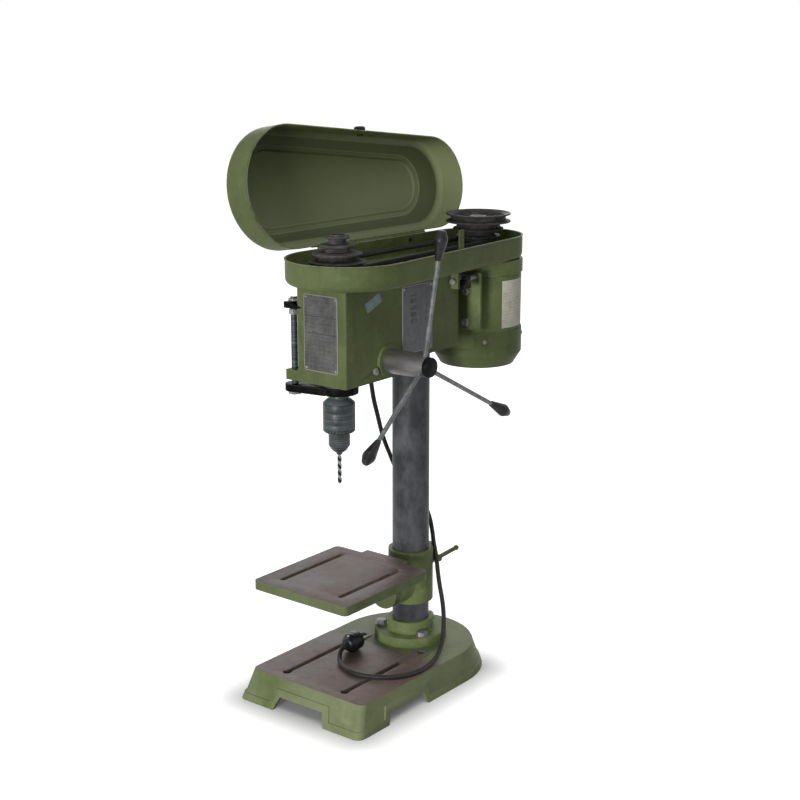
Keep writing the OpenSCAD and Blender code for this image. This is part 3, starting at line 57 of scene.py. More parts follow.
# %% Camera
def add_object(name, data):
    """A new object in the scene."""
    thing = bpy.data.objects.new(name, data)
    bpy.context.scene.collection.objects.link(thing)
    return thing


def look(thing, place, target):
    """Stands a camera or a lamp at a place and turns it to its target."""
    thing.location = place
    thing.rotation_euler = (Vector(target) - Vector(place)).to_track_quat("-Z", "Y").to_euler()


camera_data = bpy.data.cameras.new("photo_camera")
camera_data.lens = 67.56
camera_data.sensor_width = 36.0
camera_data.clip_end = 50.0
camera = add_object("photo_camera", camera_data)
look(camera, Vector((1427.74, -1792.12, 1035.04)) * MM, Vector((-22.28, 50.0, 444.34)) * MM)
bpy.context.scene.camera = camera
bpy.context.view_layer.update()
print("camera", [round(v, 3) for v in camera.location])

# %% [markdown]
# ## The mains lead
# The lead drops from a gland under the head, passes behind the column, comes round the
# table clamp and lies in one loop on the base. A curve with a round bevel is the natural
# way to draw it: the points are the route, and Blender keeps the section round. The curve is
# made a mesh at the end, so its bounds are those of its real surface.

# %% Lead
lead_radius = 3.65 * MM
lead_route = [
    (-33, -11, 506), (-33, -11, 490), (-32, -9, 473), (-32, -4, 452), (-33, 6, 426),
    (-36, 18, 400), (-39, 32, 375), (-41, 46, 353), (-42, 58, 333), (-40, 70, 314),
    (-33, 81, 296), (-22, 90, 280), (-9, 95, 264), (5, 94, 241), (15, 89, 219),
    (20, 86, 203), (33, 76, 183), (43, 67, 163), (53, 59, 143), (62, 53, 126),
    (71, 45, 111), (79, 36, 95), (85, 27, 82), (91, 16, 70), (96, 3, 60),
    (101, -15, 53), (105, -39, 50.5), (107, -64, 50.5), (102, -88, 50.5), (91, -106, 50.5),
    (77, -119, 50.5), (60, -129, 50.5), (41, -134, 50.5), (21, -133, 50.5), (3, -126, 50.5),
    (-13, -116, 51), (-22, -106, 54.5), (-27, -96, 59.8), (-28, -88, 62.3)]


def smooth_route(points, steps):
    """Points on a smooth curve that passes through the whole route."""
    p = [Vector(q) * MM for q in points]
    p = [2 * p[0] - p[1]] + p + [2 * p[-1] - p[-2]]
    line = []
    for a, b, c, d in zip(p, p[1:], p[2:], p[3:]):
        for k in range(steps):
            t = k / steps
            line.append(0.5 * (2 * b + (c - a) * t + (2 * a - 5 * b + 4 * c - d) * t ** 2
                               + (3 * b - a - 3 * c + d) * t ** 3))
    return line + [p[-2]]


def route_length(line):
    return sum((b - a).length for a, b in zip(line, line[1:]))


lead_line = smooth_route(lead_route, 4)
lead_curve = bpy.data.curves.new("mains_lead", "CURVE")
lead_curve.dimensions = "3D"
lead_curve.bevel_depth = lead_radius
lead_curve.bevel_resolution = 6
lead_curve.use_fill_caps = True
spline = lead_curve.splines.new("POLY")
spline.points.add(len(lead_line) - 1)
for point, place in zip(spline.points, lead_line):
    point.co = (*place, 1.0)
spline.use_smooth = True
mains_lead = add_object("mains_lead", lead_curve)
bpy.ops.object.select_all(action="DESELECT")
mains_lead.select_set(True)
bpy.context.view_layer.objects.active = mains_lead
bpy.ops.object.convert(target="MESH")
mains_lead = bpy.context.active_object
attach(mains_lead, "frame")
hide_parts("cord")
lead_length = route_length(lead_line)
print("lead", round(lead_length, 3), "m")

# %% [markdown]
# ## Shader sums as Python
# A finish is mostly arithmetic on masks. Wrapping a socket in a small class lets the
# masks be written as sums, and each sum adds its own Math node.


# %% Sockets that add up
class Wire:
    """A socket of a node tree, with Python's own signs for Math nodes."""

    def __init__(self, owner, socket):
        self.owner, self.socket = owner, socket

    def __rsub__(self, other):
        return self.owner.math("SUBTRACT", other, self)

    def within(self, low, high):
        """1 between low and high, 0 elsewhere."""
        return (self > low) * (self < high)

    def line(self, at, half):
        """1 on a line of this half width, 0 elsewhere."""
        return (self - at).size() < half

    def between(self, low, high):
        """0 below low, 1 above high, and a soft step between them."""
        return self.owner.node("ShaderNodeMapRange", {"interpolation_type": "SMOOTHSTEP"},
                               {"Value": self, "From Min": low, "From Max": high})


def sum_of(operation):
    """A method of Wire that adds one Math node."""
    return lambda self, *others: self.owner.math(operation, self, *others)


for sign, operation in (("__add__", "ADD"), ("__sub__", "SUBTRACT"), ("__mul__", "MULTIPLY"),
                        ("__pow__", "POWER"), ("__gt__", "GREATER_THAN"),
                        ("__lt__", "LESS_THAN"), ("largest", "MAXIMUM"), ("size", "ABSOLUTE"),
                        ("wave", "SINE"), ("remainder", "FLOORED_MODULO")):
    setattr(Wire, sign, sum_of(operation))


# %% Node trees
class Tree:
    """A node tree that grows by calls."""

    def __init__(self, tree):
        self.tree = tree

    def node(self, kind, settings=None, values=None, output=0):
        """Adds a node, and gives one of its outputs as a wire."""
        new = self.tree.nodes.new(kind)
        for key, value in (settings or {}).items():
            setattr(new, key, value)
        self.connect(new, values or {})
        return Wire(self, new.outputs[output])

    def connect(self, target, values):
        for key, value in values.items():
            socket = target.inputs[key]
            if isinstance(value, Wire):
                self.tree.links.new(value.socket, socket)
            elif isinstance(value, (tuple, list)) and len(value) == 3 and socket.type == "RGBA":
                socket.default_value = (*value, 1.0)
            else:
                socket.default_value = value

    def math(self, operation, *values):
        return self.node("ShaderNodeMath", {"operation": operation}, dict(enumerate(values)))

    def seen(self):
        """1 for rays that reach the camera straight, off a gloss or through glass, else 0."""
        rays = self.tree.nodes.new("ShaderNodeLightPath")
        straight, gloss, glass = (Wire(self, rays.outputs[f"Is {kind} Ray"])
                                  for kind in ("Camera", "Glossy", "Transmission"))
        return straight.largest(gloss).largest(glass)


class Finish(Tree):
    """A material under construction."""

    def __init__(self, name):
        self.material = bpy.data.materials.new(name)
        self.material.use_nodes = True
        super().__init__(self.material.node_tree)
        self.shader = self.tree.nodes["Principled BSDF"]
        coordinates = self.tree.nodes.new("ShaderNodeTexCoord")
        self.place = Wire(self, coordinates.outputs["Object"])
        self.normal = Wire(self, coordinates.outputs["Normal"])

    def set(self, **values):
        self.connect(self.shader, {key.replace("_", " "): value for key, value in values.items()})

    def noise(self, scale, detail=4.0, roughness=0.55, place=None, distortion=0.0):
        return self.node("ShaderNodeTexNoise", {}, {
            "Vector": place or self.place, "Scale": scale, "Detail": detail,
            "Roughness": roughness, "Distortion": distortion})

    def streaks(self, sizes, detail, roughness):
        """Noise on Object coordinates that are scaled by the three sizes."""
        return self.noise(1.0, detail, roughness, self.node(
            "ShaderNodeMapping", {}, {"Vector": self.place, "Scale": sizes}))

    def axes(self):
        """The three coordinates, each as a wire."""
        first = self.node("ShaderNodeSeparateXYZ", {}, {0: self.place})
        return [Wire(self, out) for out in first.socket.node.outputs]

    def along(self, vector, way):
        return self.node("ShaderNodeVectorMath", {"operation": "DOT_PRODUCT"},
                         {0: vector, 1: tuple(way)}, output=1)

    def facing(self, way):
        """How far the surface faces along a direction of the object, from -1 to 1."""
        return self.along(self.normal, way)

    def depth(self, normal, level):
        """Millimetres beyond the plane with this normal and level."""
        return self.along(self.place, normal) * (1 / MM) - level

    def round_axis(self, centre_y):
        """Millimetres from an upright axis in the middle plane, and the angle round it."""
        x, y = self.axes()[:2]
        y = y - centre_y * MM
        return (x * x + y * y) ** 0.5 * (1 / MM), self.math("ARCTAN2", y, x)

    def wear_and_shade(self):
        """What mark_edges wrote: 1 on a rounded edge, -1 in an inner corner, 0 elsewhere."""
        return self.node("ShaderNodeAttribute", {"attribute_name": "edge_wear_and_shade"}, output=2)

    def rubbed(self, scale, share=0.5):
        """Rounded edges, broken up by noise."""
        return (self.wear_and_shade() * 0.8 + self.noise(scale, 4.0, 0.7) * share).between(0.5, 0.95)

    def blend(self, mask, a, b):
        """Colour a where the mask is 0, colour b where it is 1."""
        return self.node("ShaderNodeMix", {"data_type": "RGBA"}, {0: mask, 6: a, 7: b}, output=2)

    def bump(self, height, depth, strength):
        return self.node("ShaderNodeBump", {}, {"Height": height, "Distance": depth,
                                                "Strength": strength})


def shade(colour, factor, lift=0.0):
    """A lighter or darker shade of a colour."""
    return tuple(c * factor + lift for c in colour)


def beyond(wires, middles, halves):
    """The distance outside a box, and 0 inside it."""
    a, b = (((wire - middle).size() - half).largest(0.0)
            for wire, middle, half in zip(wires, middles, halves))
    return (a * a + b * b) ** 0.5


print("shader helpers ready")

# %% [markdown]
# ## Olive paint
# The castings and the pressed sheet share one olive coat. Up close it is never even: it is
# a little lighter where hands have rubbed it, greasy and darker elsewhere, and chipped down
# to dark iron in a few small places. Noise at three sizes gives those three things.


# %% Paint
def olive(f, tone=1.0, chips=0.655, dust=0.0):
    """The olive coat as a colour, a roughness and a height."""
    light, deep, pale = (shade(colour, tone) for colour in (
        (0.150, 0.184, 0.078), (0.096, 0.122, 0.046), (0.235, 0.262, 0.150)))
    cloud = f.noise(9.0, 5.0, 0.62)
    fine = f.noise(70.0, 4.0, 0.6)
    streak = f.streaks((60.0, 60.0, 9.0), 4.0, 0.6)
    colour = f.blend(cloud.between(0.30, 0.70), deep, light)
    colour = f.blend(streak.between(0.52, 0.78) * 0.35, colour, shade(deep, 0.62))
    colour = f.blend(fine.between(0.48, 0.78) * 0.4, colour, shade(light, 1.3))
    scuff = f.noise(24.0, 7.0, 0.72).between(0.60, 0.70)
    colour = f.blend(scuff * 0.45, colour, pale)
    if dust:
        colour = f.blend(cloud.between(0.25, 0.60) * dust, colour, (0.300, 0.305, 0.205))
    chip = (f.noise(38.0, 6.0, 0.7) * 0.75 + f.noise(7.0, 2.0) * 0.25).between(chips, chips + 0.02)
    wear_and_shade = f.wear_and_shade()
    thin = (wear_and_shade * 0.75 + f.noise(55.0, 5.0, 0.7) * 0.6).between(0.62, 0.92)
    colour = f.blend(thin * 0.75, colour, pale)
    bare = (wear_and_shade * 0.6 + f.noise(42.0, 6.0, 0.75) * 0.8).between(1.02, 1.06)
    chip = chip.largest(bare)
    colour = f.blend(chip * 0.85, colour, (0.034, 0.033, 0.028))
    # Painted shade: inner corners, which the bevel strip marks -1, are darkened towards the deep
    # olive.
    colour = f.blend((wear_and_shade * -1.0).between(0.1, 0.9) * 0.7, colour, shade(deep, 0.4))
    rough = cloud * 0.18 + fine * 0.12 + 0.38 + chip * 0.15
    return colour, rough, fine * 0.5 - chip * 0.6


# Inside the lid: how far beyond its rim the floor and the raised panel start, and the two lines
# of painted shade on the slopes round the panel, in millimetres. Then the rear wall's y and the
# low wall's z, which bound the walls that get a painted highlight, and the heights over which
# the lighter lower floor fades, in metres.
floor_in_from, panel_in_from = 39.0, 51.0
panel_shade_lines = ((50.9, 51.7), (52.3, 55.2))
rear_wall_y, low_wall_z, lower_floor_z = 0.12, 0.75, (0.73, 0.85)
rim_half = 0.9


def hollow_paint(f, colour, way, level):
    """Paint inside the lid, whose rim faces this way at this level: a lighter floor with grey dust
    patches, lighter again towards the bottom; a painted highlight on the rear wall's inner face
    and on the low walls that face up; painted shade on the slopes round the raised panel.
    """
    deep_in = f.depth(way, level)
    inside = f.facing(way) < -0.25
    floor_in = (deep_in > floor_in_from) * inside
    y, z = f.axes()[1:3]
    # Painted highlight: the rear wall's inner face, which looks to the front, and the low walls
    # that look up are made lighter, as if lit.
    painted_lit_walls = f.facing((0, -1, 0)).between(0.1, 0.8) * (y > rear_wall_y) * (deep_in > 1.0)
    painted_lit_walls = painted_lit_walls.largest(f.facing((0, 0, 1)).between(0.2, 0.9) * (deep_in > 1.0)
                          * (z < low_wall_z))
    dust = f.noise(10.0, 6.0, 0.70).between(0.50, 0.62)
    colour = f.blend(floor_in * 0.55, colour, (0.200, 0.235, 0.115))
    colour = f.blend(floor_in * dust * (deep_in < panel_in_from) * 0.55, colour,
                     (0.200, 0.193, 0.190))
    colour = f.blend(painted_lit_walls * 0.8, colour, (0.270, 0.300, 0.165))
    colour = f.blend(floor_in * (1.0 - z.between(*lower_floor_z)) * 0.5, colour,
                     (0.270, 0.300, 0.180))
    # Painted shade: two dark lines on the slopes round the raised panel.
    lines = deep_in.within(*panel_shade_lines[0]).largest(deep_in.within(*panel_shade_lines[1]))
    return f.blend(lines * 0.5 * inside, colour, (0.040, 0.050, 0.020))


def paint(name, tone, chips=0.655, grain=0.0, rim=None, hollow=False, settled=0.0):
    """Olive paint. A rim is a normal and a level where the lip is paler, in patches broken up by
    noise.
    """
    f = Finish(name)
    colour, rough, height = olive(f, tone, chips)
    if settled:
        colour = f.blend(f.facing((0, 0, 1)).between(0.7, 1.0) * settled, colour,
                         (0.260, 0.265, 0.190))
    if hollow:
        colour = hollow_paint(f, colour, *rim)
    if rim:
        lip = (f.depth(*rim).size() < rim_half) * f.noise(90.0, 4.0, 0.7).between(0.36, 0.52)
        colour = f.blend(lip * 0.8, colour, (0.27, 0.29, 0.18))
    height = height + f.noise(220.0 if grain else 90.0, 3.0) * (0.3 + grain)
    f.set(Base_Color=colour, Roughness=rough, Specular_IOR_Level=0.12,
          Normal=f.bump(height, 0.0004 + 0.0006 * grain, 0.35))
    return f.material


paint_cast = paint("olive_on_casting", 1.0, grain=0.5)
# The motor's plate, body and cap take a lighter copy of the olive: a painted highlight that makes
# them look lit where the head and the guard shade them.
painted_lit_motor = paint("olive_painted_lit_motor", 1.4, 0.66)
# The column flange, the table bracket and the clamp lever sit under the table and take a lighter
# copy too: a painted highlight that makes up for the table's shadow on them.
painted_lit_under_table = paint("olive_painted_lit_under_table", 1.55, grain=0.5)
paint_sheet = paint("olive_on_sheet", 1.0, 0.665)
print("paint mixed")

# %% [markdown]
# ## Bare iron, steel and plastic
# The table and the pad of the base are milled iron with a brown film of rust. The column is
# dark drawn tube with streaks along it. Screws and arms are plain bright steel.


# %% Metals
def rusty(f, tone=1.0):
    """Milled iron under a thin brown film: a colour, a roughness and a height."""
    cloud = f.noise(11.0, 6.0, 0.65, distortion=0.3)
    fine = f.noise(60.0, 5.0, 0.7)
    grey, brown, deep, pale = (shade(colour, tone) for colour in (
        (0.215, 0.190, 0.182), (0.262, 0.188, 0.162), (0.125, 0.096, 0.084),
        (0.320, 0.285, 0.270)))
    colour = f.blend(cloud.between(0.38, 0.62), grey, brown)
    colour = f.blend(fine.between(0.42, 0.75) * 0.6, colour, deep)
    colour = f.blend(f.noise(26.0, 4.0).between(0.58, 0.72) * 0.5, colour, pale)
    pits = f.noise(150.0, 3.0, 0.6).between(0.62, 0.72)
    colour = f.blend(pits * 0.5, colour, (0.075, 0.058, 0.050))
    wear_and_shade = f.wear_and_shade()
    bright = (wear_and_shade * 0.8 + f.noise(48.0, 4.0, 0.7) * 0.5).between(0.60, 0.95)
    colour = f.blend(bright * 0.7, colour, (0.40, 0.39, 0.36))
    nick = (wear_and_shade * 0.6 + f.noise(75.0, 5.0, 0.75) * 0.8).between(0.98, 1.04)
    colour = f.blend(nick * 0.8, colour, (0.040, 0.034, 0.028))
    return colour, cloud * 0.22 + 0.44, fine - pits * 0.5


def metal(name, dark, light, scale, metallic=0.0, rough=0.42, worn=0.02, stain=0.5, gloss=0.3):
    """Bare steel: two tones on a stretched noise, dark stains, bright rubbed edges."""
    f = Finish(name)
    grain = f.streaks(scale, 6.0, 0.62)
    cloud = f.noise(16.0, 6.0, 0.68)
    colour = f.blend(grain.between(0.34, 0.68), dark, light)
    colour = f.blend(cloud.between(0.50, 0.68) * stain, colour, shade(dark, 0.5))
    colour = f.blend(f.rubbed(70.0) * 0.8, colour,
                     tuple(min(0.8, c) for c in shade(light, 1.4, worn)))
    f.set(Base_Color=colour, Metallic=metallic, Roughness=cloud * 0.25 + rough - 0.12,
          Specular_IOR_Level=gloss, Normal=f.bump(grain + cloud, 0.0002, 0.3))
    return f.material


def chuck_finish(name, dark, light, centre_y, tooth_low, tooth_high, tooth_r, teeth):
    """Steel from the lathe: rings round the upright axis, a row of key teeth drawn as painted
    shade in the gaps and a painted highlight on the teeth, and a painted highlight on faces that
    look up.
    """
    f = Finish(name)
    z = f.axes()[2]
    radius, angle = f.round_axis(centre_y)
    cloud = f.noise(34.0, 6.0, 0.68)
    rings = f.streaks((4.0, 4.0, 650.0), 3.0, 0.7)
    colour = f.blend(rings.between(0.43, 0.62) * 0.8, dark, light)
    colour = f.blend(cloud.between(0.48, 0.64) * 0.6, colour, shade(dark, 0.45))
    # The key teeth: painted shade in the gaps and a painted highlight on the teeth between them.
    shaded_gaps = (angle * teeth).wave().between(-0.2, 0.2)
    row = z.within(tooth_low * MM, tooth_high * MM) * (radius < tooth_r)
    colour = f.blend(row * shaded_gaps, colour, (0.018, 0.020, 0.021))
    colour = f.blend(row * (1.0 - shaded_gaps) * 0.6, colour, shade(light, 1.9))
    colour = f.blend(f.rubbed(90.0) * 0.6, colour, shade(light, 1.7))
    # Painted highlight on faces that look up.
    colour = f.blend(f.facing((0, 0, 1)).between(0.2, 0.6) * 0.7, colour, shade(light, 1.5))
    f.set(Base_Color=colour, Metallic=0.1, Roughness=cloud * 0.2 + 0.28, Specular_IOR_Level=0.2,
          Normal=f.bump(rings * 0.6 + row * shaded_gaps * -1.0, 0.0003, 0.4))
    return f.material


def flute_finish(name, centre_y, flute_to, land_from):
    """Black in the flutes, where the radius is small, and bright on the lands."""
    f = Finish(name)
    land = f.round_axis(centre_y)[0].between(flute_to, land_from)
    cloud = f.noise(90.0, 4.0, 0.65)
    colour = f.blend(land, (0.010, 0.012, 0.013), (0.30, 0.33, 0.335))
    colour = f.blend(cloud.between(0.5, 0.7) * 0.4, colour, (0.03, 0.03, 0.03))
    f.set(Base_Color=colour, Metallic=0.1, Roughness=cloud * 0.2 + 0.3, Specular_IOR_Level=0.2,
          Normal=f.bump(cloud, 0.0002, 0.3))
    return f.material


def plastic(name, colour, rough=0.35, dust=(0.06, 0.058, 0.055), gloss=0.22):
    """Dark moulded plastic with finger smears, dust and rubbed edges."""
    f = Finish(name)
    smear = f.noise(35.0, 4.0, 0.6)
    specks = f.noise(120.0, 4.0, 0.7).between(0.56, 0.74)
    tint = f.blend(smear.between(0.4, 0.8), colour, shade(colour, 1.9, 0.008))
    tint = f.blend(specks * 0.6, tint, dust)
    tint = f.blend(f.rubbed(70.0, 0.4) * 0.3, tint, shade(dust, 1.6))
    f.set(Base_Color=tint, Roughness=smear * 0.25 + rough - 0.1, Specular_IOR_Level=gloss,
          Normal=f.bump(smear + specks, 0.0002, 0.3))
    return f.material


spindle_y, motor_y = -127.0, 230.2
column_steel = metal("column_steel", (0.042, 0.045, 0.050), (0.120, 0.127, 0.136),
                     (26.0, 26.0, 15.0), rough=0.46, worn=0.3, stain=0.7, gloss=0.15)
chuck_steel = chuck_finish("chuck_steel", (0.040, 0.049, 0.052), (0.140, 0.165, 0.172),
                           spindle_y, 434.0, 441.5, 19.5, 32)
bright_steel = metal("bright_steel", (0.24, 0.24, 0.235), (0.42, 0.42, 0.41),
                     (90.0, 90.0, 90.0), 0.15, stain=0.6)
bolt_steel = metal("bolt_steel", (0.13, 0.13, 0.127), (0.29, 0.29, 0.28),
                   (90.0, 90.0, 90.0), 0.15, stain=0.6)
arm_steel = metal("arm_steel", (0.120, 0.128, 0.134), (0.250, 0.262, 0.270),
                  (110.0, 110.0, 110.0), 0.1, 0.38, 0.04, stain=0.4)
dark_iron = metal("oily_iron", (0.003, 0.003, 0.003), (0.010, 0.010, 0.010),
                  (45.0, 45.0, 45.0), rough=0.45, worn=0.10, gloss=0.03)
pulley_iron = metal("pulley_iron", (0.050, 0.048, 0.046), (0.110, 0.107, 0.103),
                    (60.0, 60.0, 160.0), rough=0.50, worn=0.05, gloss=0.06)
hub_iron = metal("hub_iron", (0.100, 0.096, 0.092), (0.180, 0.174, 0.168),
                 (14.0, 60.0, 60.0), 0.25, 0.38, 0.06, stain=0.35, gloss=0.5)
black_plastic = plastic("black_plastic", (0.011, 0.011, 0.012))
matt_plastic = plastic("matt_plastic", (0.006, 0.006, 0.006), 0.45, (0.03, 0.03, 0.028), 0.06)
belt_rubber = plastic("belt_rubber", (0.014, 0.014, 0.015), 0.65)
lead_rubber = plastic("lead_rubber", (0.022, 0.022, 0.021), 0.45)
print("metals and plastics ready")

# %% Finishes on the CAD nodes
finishes = {
    paint_cast: ["head", "spring_housing", "motor_bell"],
    painted_lit_under_table: ["column_flange", "clamp_lever", "table_bracket"],
    paint_sheet: ["guard_hinge_leaves", "lid_hinge_leaves"],
    painted_lit_motor: ["motor_plate", "motor_body", "motor_cap"],
    column_steel: ["column"],
    bolt_steel: ["flange_bolts"],
    bright_steel: ["head_screws", "plate_rivets", "motor_bolts", "tilt_bolt",
                   "stop_nut", "depth_nuts", "slide_rods", "plug_pins", "pulley_bearings",
                   "quill_bearings", "motor_bearings"],
    chuck_steel: ["quill", "quill_rack", "depth_rod", "spindle", "chuck_body", "chuck_jaws",
                  "chuck_sleeve", "feed_shaft", "drive_sleeve", "return_spring"],
    pulley_iron: ["spindle_pulley", "motor_shaft"],
    dark_iron: ["depth_arm", "depth_pointer", "guard_screws"],
    black_plastic: ["switch_box", "switch_rocker"],
    matt_plastic: ["belt_lock_knob"],
    belt_rubber: ["v_belt"],
}


def dress(thing, material):
    thing.data.materials.clear()
    thing.data.materials.append(material)


for material, nodes in finishes.items():
    for node in nodes:
        dress(frame["nodes"][node], material)
dress(mains_lead, lead_rubber)

# %% [markdown]
# ## Two finishes on one casting
# The base and the table are painted castings whose top faces were milled afterwards, so
# paint stops where the milled face starts. The finish looks at height and at which way the
# surface faces, and gives bare iron only to the milled faces.


# %% Painted castings with a milled top
def milled_casting(name, level, slot_x, slot_half, slot_ends, tone, rust_tone, dust):
    """Paint, with a milled top above a level and rusty slots on either side."""
    f = Finish(name)
    x, y, z = f.axes()
    up = f.facing((0, 0, 1))
    top = (z > level * MM) * (up > 0.8)
    slot = x.size().line(slot_x * MM, slot_half * MM) * (z > (level - 16) * MM)
    slot = slot * y.within(*(end * MM for end in slot_ends)) * (up.size() < 0.5)
    rust, rust_rough, rust_height = rusty(f, rust_tone)
    coat, coat_rough, coat_height = olive(f, tone, 0.66, dust)
    inner = f.blend(f.noise(40.0, 4.0).between(0.4, 0.6), (0.17, 0.14, 0.11), (0.26, 0.20, 0.14))
    colour = f.blend(slot, f.blend(top, coat, rust), inner)
    height = coat_height + top * (rust_height - coat_height) + f.noise(200.0, 3.0) * 0.5
    f.set(Base_Color=colour, Metallic=top * 0.15, Specular_IOR_Level=0.15,
          Roughness=coat_rough + top * (rust_rough - coat_rough),
          Normal=f.bump(height, 0.0005, 0.4))
    return f.material


base_finish = milled_casting("base_casting", 46.0, 59.0, 8.5, (-205.0, -40.0), 1.5, 1.0, 0.45)
table_finish = milled_casting("table_casting", 202.0, 58.5, 5.4, (-201.0, -49.0), 0.95, 0.64,
                              0.2)

# %% [markdown]
# ## Etched plates
# Two grey plates carry plain rulings: the front one has ticks along one edge and thin
# lines, and the one at the side has a block of short bars.


# %% Plates
plate_corner, plate_border = 4.0, 1.4


def etched_plate(name, front, low, high, bottom, top):
    """A grey plate that faces the front or the side, with rulings between its four edges."""
    f = Finish(name)
    x, y, z = f.axes()
    across, height = (x if front else y) * (1 / MM), z * (1 / MM)
    width, tall = high - low, top - bottom
    cool = 0.0 if front else 0.010
    cloud = f.noise(30.0, 6.0, 0.7)
    scuff = f.streaks((140.0, 140.0, 30.0), 5.0, 0.7)
    colour = f.blend(cloud.between(0.35, 0.7), (0.068, 0.068 + cool, 0.064 + 2 * cool),
                     (0.150, 0.150 + cool, 0.142 + 2 * cool))
    colour = f.blend(scuff.between(0.55, 0.8) * 0.6, colour, (0.21, 0.21, 0.20))
    colour = f.blend(f.noise(18.0, 5.0, 0.7).between(0.55, 0.72) * 0.5, colour,
                     (0.085, 0.078, 0.064))
    if front:
        ticks = (height.remainder(5.0) < 0.8) * across.within(low + 2.0, low + 7.0)
        rules = height.line(bottom + 0.72 * tall, 0.5).largest(
            height.line(bottom + 0.50 * tall, 0.6))
        rows = (height.remainder(6.5) < 1.6) * across.within(low + 12.0, high - 8.0)
        rows = rows * (f.streaks((420.0, 420.0, 150.0), 2.0, 0.5) > 0.52) * 0.6
        double = across.line(high - 7.5, 0.3).largest(across.line(high - 6.0, 0.3))
        marks = ticks.largest(rules).largest(rows).largest(double * 0.6)
    else:
        bars = (height.remainder(10.5) < 6.2) * height.within(bottom + 0.42 * tall,
                                                              bottom + 0.86 * tall)
        columns = across.line(low + 0.36 * width, 8.0).largest(
            across.line(low + 0.78 * width, 2.0))
        broken = f.streaks((300.0, 300.0, 300.0), 2.0, 0.5) > 0.44
        marks = (bars * columns * broken).largest(across.line(low + 0.60 * width, 0.4))
    outside = beyond((across, height), ((low + high) / 2, (bottom + top) / 2),
                     (width / 2 - plate_corner, tall / 2 - plate_corner))
    colour = f.blend(marks * 0.8, colour, (0.022, 0.022, 0.024))
    colour = f.blend((outside > plate_corner - plate_border) * 0.75, colour, (0.34, 0.34, 0.33))
    f.set(Base_Color=colour, Metallic=0.15, Roughness=cloud * 0.3 + 0.34, Specular_IOR_Level=0.25,
          Normal=f.bump(scuff, 0.0002, 0.3))
    return f.material


scale_finish = etched_plate("scale_plate_face", True, -32.8, 32.8, 532.5, 648.0)
speed_finish = etched_plate("speed_plate_face", False, -33.5, 41.5, 541.5, 647.0)


# %% Paper labels
def paper(name, ground, stain, lines=()):
    """Stained paper. Lines are their ink, their pitch and the heights they lie between."""
    f = Finish(name)
    cloud = f.noise(40.0, 5.0, 0.65)
    colour = f.blend(cloud.between(0.4, 0.75), ground, stain)
    if lines:
        ink, pitch, low, high = lines
        height = f.axes()[2] * (1 / MM)
        line = (height.remainder(pitch) < pitch * 0.3) * height.within(low, high)
        line = line * (f.streaks((700.0, 700.0, 260.0), 2.0, 0.5) > 0.56)
        colour = f.blend(line * 0.45, colour, ink)
    f.set(Base_Color=colour, Roughness=cloud * 0.2 + 0.55,
          Normal=f.bump(f.noise(300.0, 3.0), 0.0001, 0.2))
    return f.material


label_paper = paper("motor_label", (0.86, 0.83, 0.68), (0.66, 0.62, 0.49),
                    ((0.20, 0.19, 0.16), 5.0, 550.5, 623.5))
blue_paper = paper("blank_sticker", (0.20, 0.27, 0.29), (0.34, 0.40, 0.42))
for node, material in (("base", base_finish), ("table", table_finish),
                       ("rating_plate", label_paper)):
    dress(frame["nodes"][node], material)

# %% [markdown]
# ## Two ways to a piece
# Castings and turned parts start as a copy of their CAD node, because its size is right.
# The copy is welded, its flat triangles are joined into faces, and a bevel rounds the edges
# as a mould or a file would. Pressed sheet and grips are drawn anew in edit mode.


# %% Tools for modelling
def leave_edit():
    bpy.ops.object.mode_set(mode="OBJECT")


def deselect():
    if bpy.context.object and bpy.context.object.mode != "OBJECT":
        leave_edit()
    bpy.ops.object.select_all(action="DESELECT")


def take(thing):
    deselect()
    thing.select_set(True)
    bpy.context.view_layer.objects.active = thing


def edit(thing, action="DESELECT"):
    take(thing)
    bpy.ops.object.mode_set(mode="EDIT")
    bpy.ops.mesh.select_mode(type="VERT")
    bpy.ops.mesh.select_all(action=action)


def pick_corners(thing, rule):
    """Selects the corners that the rule is true for, and goes back to edit mode."""
    bpy.ops.mesh.select_mode(type="VERT")
    bpy.ops.mesh.select_all(action="DESELECT")
    leave_edit()
    for corner in thing.data.vertices:
        corner.select = bool(rule(corner.co))
    bpy.ops.object.mode_set(mode="EDIT")


def extrude(height):
    bpy.ops.mesh.extrude_region_move(TRANSFORM_OT_translate={"value": (0, 0, height * MM)})


def apply_place():
    bpy.ops.object.transform_apply(location=True, rotation=True, scale=True)


def add_modifier(thing, kind, **settings):
    take(thing)
    modifier = thing.modifiers.new(kind.lower(), kind)
    for key, value in settings.items():
        setattr(modifier, key, value)
    bpy.ops.object.modifier_apply(modifier=modifier.name)


def bevel(thing, width, segments, angle, **more):
    add_modifier(thing, "BEVEL", width=width * MM, segments=segments, limit_method="ANGLE",
                 angle_limit=math.radians(angle), **more)


def settle(thing, angle=35.0):
    """Puts the piece's place into its mesh, faces out, smooth where it is round."""
    take(thing)
    apply_place()
    edit(thing, "SELECT")
    bpy.ops.mesh.remove_doubles(threshold=0.00002)
    bpy.ops.mesh.normals_make_consistent(inside=False)
    leave_edit()
    bpy.ops.object.shade_smooth_by_angle(angle=math.radians(angle))


body_of_node = {node: body for body, nodes in frame["record"]["behaviour"]["bodies"].items()
                for node in nodes}
slot_of_node = {part["node"]: part["material_slot"] for part in frame["record"]["subparts"]}


def finish_piece(thing, name, material, node=None, body="frame", slot=None):
    """Dresses a piece, which takes a node's place or else rides a body as an extra."""
    thing.name = thing.data.name = name
    dress(thing, material)
    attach(thing, body_of_node[node] if node else body)
    if node:
        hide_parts(node)
    print(name, len(thing.data.polygons), "faces")
    return thing


